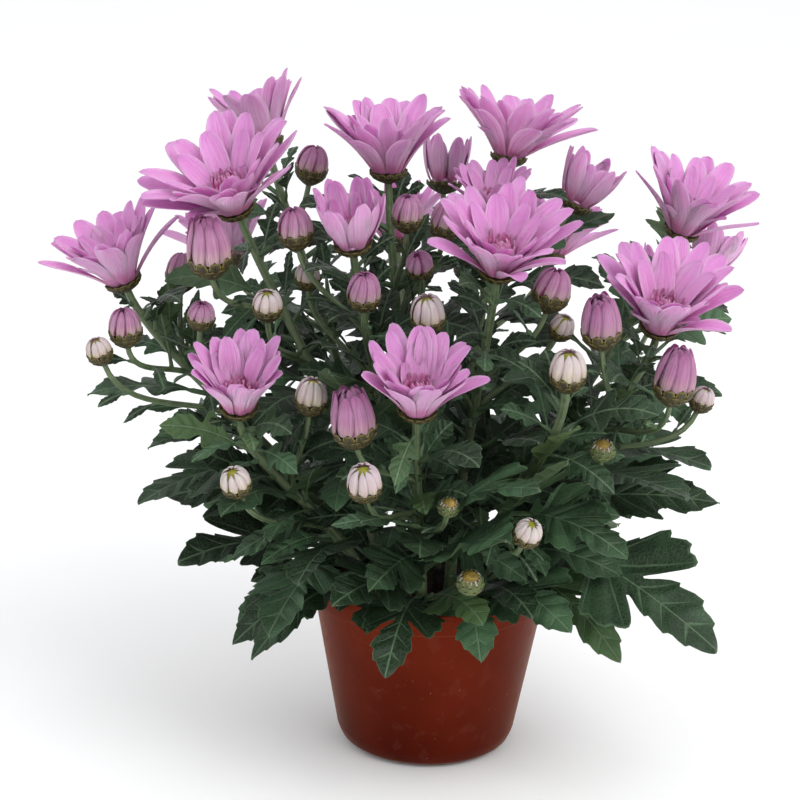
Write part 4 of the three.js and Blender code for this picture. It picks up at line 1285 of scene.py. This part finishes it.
def petal_finish(name, foot, middle, tip, streak, streak_share, edge, edge_share, other=None,
                 other_share=0.16, soft=0.4):
    """Petal skin: colours along the petal, fine lengthwise lines and an edge of another colour. Each petal
    turns a little to the other colour. soft: how much light passes under its skin."""
    material, wiring, sockets = new_finish(
        name, subsurface_weight=soft, subsurface_radius=(1.0, 0.5, 0.85), subsurface_scale=0.0025,
        sheen_weight=0.12, sheen_roughness=0.4, ior=1.35)
    spot, tone = wiring.attribute("spot")["Vector"], wiring.attribute("tone")["Fac"]
    place = wiring.parts(spot)
    side = wiring.math("ABSOLUTE", place["X"])
    lines = wiring.group(STREAKS, Spot=spot, Tone=tone, Across=9.0, Along=1.2)["Mask"]
    fine_lines = wiring.group(STREAKS, Spot=spot, Tone=tone, Across=26.0, Along=1.6)["Mask"]
    clouds = wiring.group(MOTTLE, Place=object_place(wiring), Size=130.0)["Mask"]
    colour = wiring.mix(wiring.fade(place["Y"], 0.04, 0.4), foot, middle)
    colour = wiring.mix(wiring.fade(place["Y"], 0.45, 1.0, 0.0, 0.85), colour, tip)
    # For buds the edge colour is dark, as painted shade of the seams between petals.
    colour = wiring.mix(wiring.fade(side, 0.6, 1.0, 0.0, edge_share), colour, edge)
    colour = wiring.mix(wiring.math("MULTIPLY", clouds, 0.22), colour, PALE_PINK)
    colour = wiring.mix(wiring.math("MULTIPLY", lines, streak_share), colour, streak)
    colour = wiring.mix(wiring.math("MULTIPLY", fine_lines, streak_share * 0.45), colour, streak)
    colour = wiring.mix(wiring.fade(tone, 0.0, 1.0, 0.0, other_share), colour, other or VIOLET)
    wiring.feed(sockets["Base Color"], colour)
    wiring.feed(sockets["Roughness"], wiring.fade(fine_lines, 0.0, 1.0, 0.5, 0.62))
    relief = wiring.math("ADD", wiring.math("MULTIPLY", lines, 0.6),
                         wiring.math("MULTIPLY", fine_lines, 0.3))
    raised(wiring, sockets, relief, 0.35)
    return material


def plain_plant_finish(name, low, high, streak, roughness, across, edge=None):
    """Skin of small plant parts: two colours in patches and a third in streaks. edge: its rim's colour."""
    material, wiring, sockets = new_finish(name)
    spot, tone = wiring.attribute("spot")["Vector"], wiring.attribute("tone")["Fac"]
    place = wiring.parts(spot)
    lines = wiring.group(STREAKS, Spot=spot, Tone=tone, Across=across, Along=2.0)["Mask"]
    clouds = wiring.group(MOTTLE, Place=object_place(wiring), Size=220.0)["Mask"]
    colour = wiring.mix(clouds, low, high)
    colour = wiring.mix(wiring.math("MULTIPLY", lines, 0.45), colour, streak)
    if edge:
        rim = wiring.math("MAXIMUM", wiring.fade(wiring.math("ABSOLUTE", place["X"]), 0.66, 0.96),
                          wiring.fade(place["Y"], 0.76, 0.96))
        colour = wiring.mix(wiring.math("MULTIPLY", rim, 0.85), colour, edge)
    wiring.feed(sockets["Base Color"], colour)
    wiring.feed(sockets["Roughness"], wiring.fade(clouds, 0.0, 1.0, roughness - 0.06, roughness + 0.08))
    raised(wiring, sockets, lines, 0.2)
    return material


def pot_finish(name, deep, lit_top_and_patches, dust, roughness):
    """Moulded plastic with a satin skin, with painted light making it paler towards the rim, faint scuffs
    and specks of dust.
    """
    material, wiring, sockets = new_finish(name, sheen_weight=0.22, sheen_roughness=0.35,
                                            sheen_tint=(1, 0.62, 0.42, 1), specular_ior_level=0.03)
    place = object_place(wiring)
    patches = wiring.group(MOTTLE, Place=place, Size=22.0)["Mask"]
    scuffs = wiring.fade(wiring.group(MOTTLE, Place=place, Size=140.0)["Mask"], 0.7, 1.0)
    dots = wiring.add("ShaderNodeTexVoronoi", {"Vector": place, "Scale": 240.0})
    specks = wiring.fade(dots.outputs["Distance"], 0.05, 0.11, 1.0, 0.0)
    spread = wiring.group(MOTTLE, Place=place, Size=70.0)["Mask"]
    specks = wiring.math("MULTIPLY", specks, wiring.fade(spread, 0.6, 1.0))
    # Painted light: the colour turns paler from the pot's foot up to its rim, as if lit from above, and in
    # patches
    painted_top_light = wiring.fade(wiring.parts(place)["Z"], 0.0, POT_HEIGHT * MM, 0.0, 0.7)
    colour = wiring.mix(wiring.math("ADD", painted_top_light, wiring.math("MULTIPLY", patches, 0.3)), deep, lit_top_and_patches)
    colour = wiring.mix(wiring.math("MULTIPLY", scuffs, 0.03), colour, dust)
    colour = wiring.mix(wiring.math("MULTIPLY", specks, 0.4), colour, dust)
    wiring.feed(sockets["Base Color"], colour)
    wear = wiring.math("ADD", scuffs, patches)
    wiring.feed(sockets["Roughness"], wiring.fade(wear, 0.0, 2.0, roughness, roughness + 0.2))
    grain = wiring.group(MOTTLE, Place=place, Size=1500.0)["Mask"]
    raised(wiring, sockets, wiring.math("ADD", wiring.math("MULTIPLY", grain, 0.2), specks), 0.08)
    return material


def crumb_finish(name, dark, light, size):
    """Crumbly matter: dark and light grains with a rough skin."""
    material, wiring, sockets = new_finish(name, roughness=0.95)
    place = object_place(wiring)
    grains = wiring.group(MOTTLE, Place=place, Size=size)["Mask"]
    clouds = wiring.group(MOTTLE, Place=place, Size=size / 12)["Mask"]
    colour = wiring.mix(wiring.math("MULTIPLY", grains, clouds), dark, light)
    wiring.feed(sockets["Base Color"], colour)
    raised(wiring, sockets, grains, 0.6)
    return material


def floor_finish():
    """A pale, almost even floor."""
    material, wiring, sockets = new_finish("floor_paint", roughness=0.9)
    clouds = wiring.group(MOTTLE, Place=object_place(wiring), Size=2.0)["Mask"]
    wiring.feed(sockets["Base Color"], wiring.mix(clouds, (0.95, 0.95, 0.95, 1), (0.97, 0.97, 0.97, 1)))
    return material


PALE_PINK = paint(240, 204, 234)
VIOLET = paint(200, 132, 206)
# The leaves' dark colours, near black on their faces, are painted shade of the plant's inside.
LEAF_FACE = leaf_finish("leaf_face", paint(8, 18, 4), paint(76, 108, 76), paint(84, 106, 48),
                        paint(126, 154, 120), 0.42, 0.6)
LEAF_BACK = leaf_finish("leaf_back", paint(34, 50, 28), paint(76, 98, 64), paint(104, 122, 62),
                        paint(124, 144, 106), 0.62, -0.4)
PETAL_FACE = petal_finish("petal_face", paint(210, 66, 152), paint(236, 162, 216), paint(222, 150, 210),
                          paint(206, 116, 188), 0.26, PALE_PINK, 0.4)
PETAL_BACK = petal_finish("petal_back", paint(208, 96, 146), paint(242, 186, 226), paint(230, 162, 216),
                          paint(200, 118, 170), 0.32, PALE_PINK, 0.3)
PETAL_EYE = petal_finish("petal_eye", paint(214, 8, 112), paint(240, 84, 172), paint(255, 190, 232),
                         paint(214, 30, 130), 0.2, PALE_PINK, 0.45, soft=0.08)
PETAL_DEPTH = plain_plant_finish("petal_depth", paint(176, 14, 104), paint(206, 44, 136),
                                 paint(140, 10, 84), 0.6, 6.0)
# A pink bud's petals have dark edges: painted shade of the seams between them.
BUD_PINK = petal_finish("bud_pink", paint(230, 196, 184), paint(212, 154, 188), paint(188, 108, 162),
                        paint(140, 66, 112), 0.42, paint(112, 40, 82), 0.7, paint(142, 80, 128), 0.5)
# A white bud's petals have dark pinkish edges: painted shade of the seams between them.
BUD_WHITE = petal_finish("bud_white", paint(226, 208, 168), paint(234, 218, 206), paint(244, 234, 232),
                         paint(200, 150, 170), 0.3, paint(150, 112, 110), 0.55)
BUD_HEART = plain_plant_finish("bud_heart", paint(136, 140, 40), paint(176, 172, 56),
                               paint(96, 104, 30), 0.6, 6.0)
# The heart seen between a pink bud's petals is dark magenta: the inner petals' own colour, darkened as
# painted shade.
BUD_SHADED_HEART = plain_plant_finish("bud_shaded_heart", paint(112, 28, 74), paint(150, 54, 108),
                               paint(84, 18, 52), 0.6, 6.0)
GREEN_HEART = plain_plant_finish("green_heart", paint(122, 104, 34), paint(170, 138, 58),
                                 paint(90, 84, 28), 0.6, 6.0)
GREEN_SCALE = plain_plant_finish("green_scale", paint(46, 60, 30), paint(80, 94, 48),
                                 paint(126, 136, 80), 0.6, 4.0, edge=paint(136, 142, 90))
# The cups' scales are olive-brown with paler rims; their very dark bodies are partly that colour and partly
# painted shade under the heads.
CUP_SCALE = plain_plant_finish("cup_scale", paint(34, 28, 16), paint(58, 52, 26),
                               paint(92, 84, 44), 0.6, 4.0, edge=paint(134, 122, 62))
STEM_SKIN = plain_plant_finish("stem_skin", paint(66, 84, 52), paint(96, 114, 78),
                               paint(146, 162, 124), 0.5, 5.0)
POT_OUTSIDE = pot_finish("pot_outside", paint(66, 11, 2), paint(106, 34, 14), paint(176, 124, 108), 0.4)
# The pot's inside is near black: painted shade of its inner wall under the foliage.
POT_SHADED_INSIDE = pot_finish("pot_shaded_inside", paint(14, 12, 12), paint(24, 22, 22), paint(96, 90, 86), 0.5)
SOIL_CRUMB = crumb_finish("soil_crumb", paint(22, 15, 11), paint(78, 58, 42), 500.0)
SOIL_GRIT = crumb_finish("soil_grit", paint(168, 160, 146), paint(228, 224, 214), 300.0)


# Pot and soil

def spun(profile, steps):
    """A closed turned mesh, from (radius, height) points that start and end on the axis."""
    bm = new_mesh()
    verts = [bm.verts.new((radius, 0, height)) for radius, height in profile]
    edges = [bm.edges.new(pair) for pair in zip(verts, verts[1:])]
    bmesh.ops.spin(bm, geom=verts + edges, cent=(0, 0, 0), axis=(0, 0, 1), angle=2 * math.pi, steps=steps,
                   use_merge=True)
    bmesh.ops.remove_doubles(bm, verts=bm.verts, dist=WELD)
    bmesh.ops.recalc_face_normals(bm, faces=bm.faces)
    return bm


def ring_edges(bm, radius, height):
    """The level edges of a turned mesh at a radius and height."""
    def there(vert):
        return abs(vert.co.xy.length - radius) < 0.01 and abs(vert.co.z - height) < 0.01

    return [edge for edge in bm.edges if all(there(vert) for vert in edge.verts)]


def drain_cutters():
    """Four round plugs through the pot's floor."""
    bm = bmesh.new()
    for i in range(DRAIN_HOLES):
        turn = (i + 0.5) / DRAIN_HOLES * 2 * math.pi
        at = Vector((math.cos(turn) * DRAIN_CIRCLE, math.sin(turn) * DRAIN_CIRCLE, FLOOR / 2))
        bmesh.ops.create_cone(bm, cap_ends=True, segments=24, radius1=DRAIN_RADIUS, radius2=DRAIN_RADIUS,
                              depth=FLOOR * 4, matrix=Matrix.Translation(at))
    return bm


def plain_object(bm, name):
    """A mesh as an object that is no piece: the floor, or a blank to cut."""
    mesh = bpy.data.meshes.new(name)
    bm.to_mesh(mesh)
    bm.free()
    piece = bpy.data.objects.new(name, mesh)
    bpy.context.scene.collection.objects.link(piece)
    return piece


def dress_pot():
    """The pot, with rounded corners, a collar under its rim and drain holes."""
    collar_foot = POT_HEIGHT - COLLAR_DEPTH
    # Radius, height and how far the corner is rounded
    corners = [(FOOT_RADIUS, 0, 0.8), (SHOULDER_RADIUS - 2.4, 3.2, 1.6),
               (SHOULDER_RADIUS, SHOULDER_HEIGHT, 1.5),
               (BODY_TOP_RADIUS, collar_foot, 0.3), (COLLAR_RADIUS, collar_foot + 0.6, 0.3),
               (RIM_RADIUS, POT_HEIGHT - LIP_DEPTH, 0.5), (RIM_RADIUS, POT_HEIGHT, 0.6),
               (RIM_RADIUS - WALL, POT_HEIGHT, 0.6), (SHOULDER_RADIUS - WALL, SHOULDER_HEIGHT, 1.5)]
    profile = [(0, 0)] + [(radius, height) for radius, height, _ in corners]
    profile += [(FOOT_RADIUS - 1, FLOOR), (0, FLOOR)]
    bm = spun(profile, POT_STEPS)
    for radius, height, round_off in corners:
        bmesh.ops.bevel(bm, geom=ring_edges(bm, radius, height), offset=round_off, segments=3,
                        affect="EDGES", profile=0.5, material=-1, clamp_overlap=True)
    pot = plain_object(bm, "pot_blank")
    plugs = plain_object(drain_cutters(), "drain_plugs")
    cut = pot.modifiers.new("drains", "BOOLEAN")
    cut.object = plugs
    cut.solver = "EXACT"
    cut_mesh = pot.evaluated_get(bpy.context.evaluated_depsgraph_get()).to_mesh()
    bm = bmesh.new()
    bm.from_mesh(cut_mesh)
    bpy.data.objects.remove(pot)
    bpy.data.objects.remove(plugs)
    # Faces that look inwards, and the floor, take the near-black inside finish, which is painted shade.
    for face in bm.faces:
        centre = face.calc_center_median()
        on_wall = centre.z > FLOOR * 1.2 and abs(face.normal.z) < 0.8
        looks_in = on_wall and face.normal.xy.dot(centre.xy) <= 0
        on_floor = FLOOR * 0.9 < centre.z < FLOOR * 1.2
        face.material_index = 1 if looks_in or on_floor else 0
    finish_piece(bm, "moulded_pot", ["pot"], [POT_OUTSIDE, POT_SHADED_INSIDE])


def add_crumb(bm, at, size, fine, finish):
    """A lumpy crumb of soil or grit."""
    stretch = Matrix.Diagonal((size * fine(0.7, 1.3), size * fine(0.7, 1.3), size * fine(0.5, 1), 1))
    turn = Matrix.Rotation(fine(0, 6.28), 4, "Z") @ Matrix.Rotation(fine(-0.6, 0.6), 4, "X")
    place = Matrix.Translation(at) @ turn @ stretch
    for vert in bmesh.ops.create_icosphere(bm, subdivisions=1, radius=1, matrix=place)["verts"]:
        vert.co += noise.noise_vector(vert.co * 0.9) * size * 0.35
        for face in vert.link_faces:
            face.material_index = finish


def dress_soil():
    """The peaty soil. It fills the pot to below the rim, and has a lumpy top with loose crumbs and grit."""
    shoulder = SHOULDER_RADIUS - WALL
    share = (SOIL_LEVEL - SHOULDER_HEIGHT) / (POT_HEIGHT - SHOULDER_HEIGHT)
    top_radius = shoulder + (RIM_RADIUS - WALL - shoulder) * share - 1
    profile = [(0, FLOOR + SEAT_GAP), (FOOT_RADIUS - 2, FLOOR + SEAT_GAP),
               (shoulder - 0.7, SHOULDER_HEIGHT + 0.3), (top_radius, SOIL_LEVEL - 1)]
    profile += [(top_radius * (1 - i / 16), SOIL_LEVEL) for i in range(1, 16)] + [(0, SOIL_LEVEL)]
    bm = spun(profile, POT_STEPS)
    for vert in bm.verts:
        if vert.co.z > SOIL_LEVEL - 0.5:
            vert.co.z += noise.noise(vert.co * 0.09) * 2 + noise.noise(vert.co * 0.35) * 1.2
    fine = seeded_draws(CRUMB_SEED)
    noise.seed_set(CRUMB_SEED)
    for i in range(CRUMBS):
        reach = (top_radius - 3) * math.sqrt(fine(0, 1))
        turn = fine(0, 2 * math.pi)
        at = Vector((reach * math.cos(turn), reach * math.sin(turn), SOIL_LEVEL + fine(-0.4, 0.9)))
        grit = i % 13 == 0
        size = fine(0.7, 1.3) if grit else fine(0.6, 2.3)
        add_crumb(bm, at, size, fine, 1 if grit else 0)
    finish_piece(bm, "peaty_soil", ["soil"], [SOIL_CRUMB, SOIL_GRIT])


# Camera, floor and light

def set_camera():
    lens = bpy.data.cameras.new("camera")
    lens.sensor_width = SENSOR
    lens.lens = SENSOR * FOCAL_PIXELS / PICTURE_SIDE
    lens.clip_end = 100
    camera = bpy.data.objects.new("camera", lens)
    bpy.context.scene.collection.objects.link(camera)
    tilt = Matrix.Rotation(math.pi / 2 - CAMERA_DOWN, 4, "X") @ Matrix.Rotation(CAMERA_ROLL, 4, "Z")
    camera.matrix_world = Matrix.Translation(CAMERA_AT * MM) @ tilt
    bpy.context.scene.camera = camera


def add_light(name, at, aim, side, power):
    light = bpy.data.lights.new(name, "AREA")
    light.shape = "SQUARE"
    light.size = side
    light.energy = power
    lamp = bpy.data.objects.new(name, light)
    bpy.context.scene.collection.objects.link(lamp)
    heading = (Vector(aim) - Vector(at)).to_track_quat("-Z", "Y")
    lamp.matrix_world = Matrix.Translation(at) @ heading.to_matrix().to_4x4()


def set_studio():
    """A wide pale floor, a pale sky all round, and a large soft light from the upper right."""
    bm = bmesh.new()
    bmesh.ops.create_grid(bm, x_segments=12, y_segments=12, size=FLOOR_REACH)
    floor = plain_object(bm, "floor")
    floor.data.materials.append(floor_finish())
    world = bpy.data.worlds.new("studio")
    world.use_nodes = True
    sky = world.node_tree.nodes["Background"].inputs
    sky["Color"].default_value = SKY_COLOUR
    sky["Strength"].default_value = SKY_STRENGTH
    bpy.context.scene.world = world
    add_light("key_light", KEY_AT, KEY_AIM, KEY_SIDE, KEY_POWER)
    bpy.context.scene.view_settings.view_transform = "Standard"


# The object

def build():
    set_camera()
    dress_pot()
    dress_soil()
    heads = [head for shoot in SHOOTS for head in shoot.heads]
    for number, head in enumerate(heads, start=1):
        if is_bud(head):
            dress_bud(head, number, head.name in WHITE_BUDS)
        else:
            dress_bloom(head, number)
    standing = [solid_tree(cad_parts)]
    for number, shoot in enumerate(SHOOTS):
        stem = stem_curve(shoot)
        dress_stems(shoot, stem, number)
        dress_leaves(shoot, stem, FIRST_LEAF_SEED + number, solid_tree([shoot.name]), standing)
    set_studio()


build()
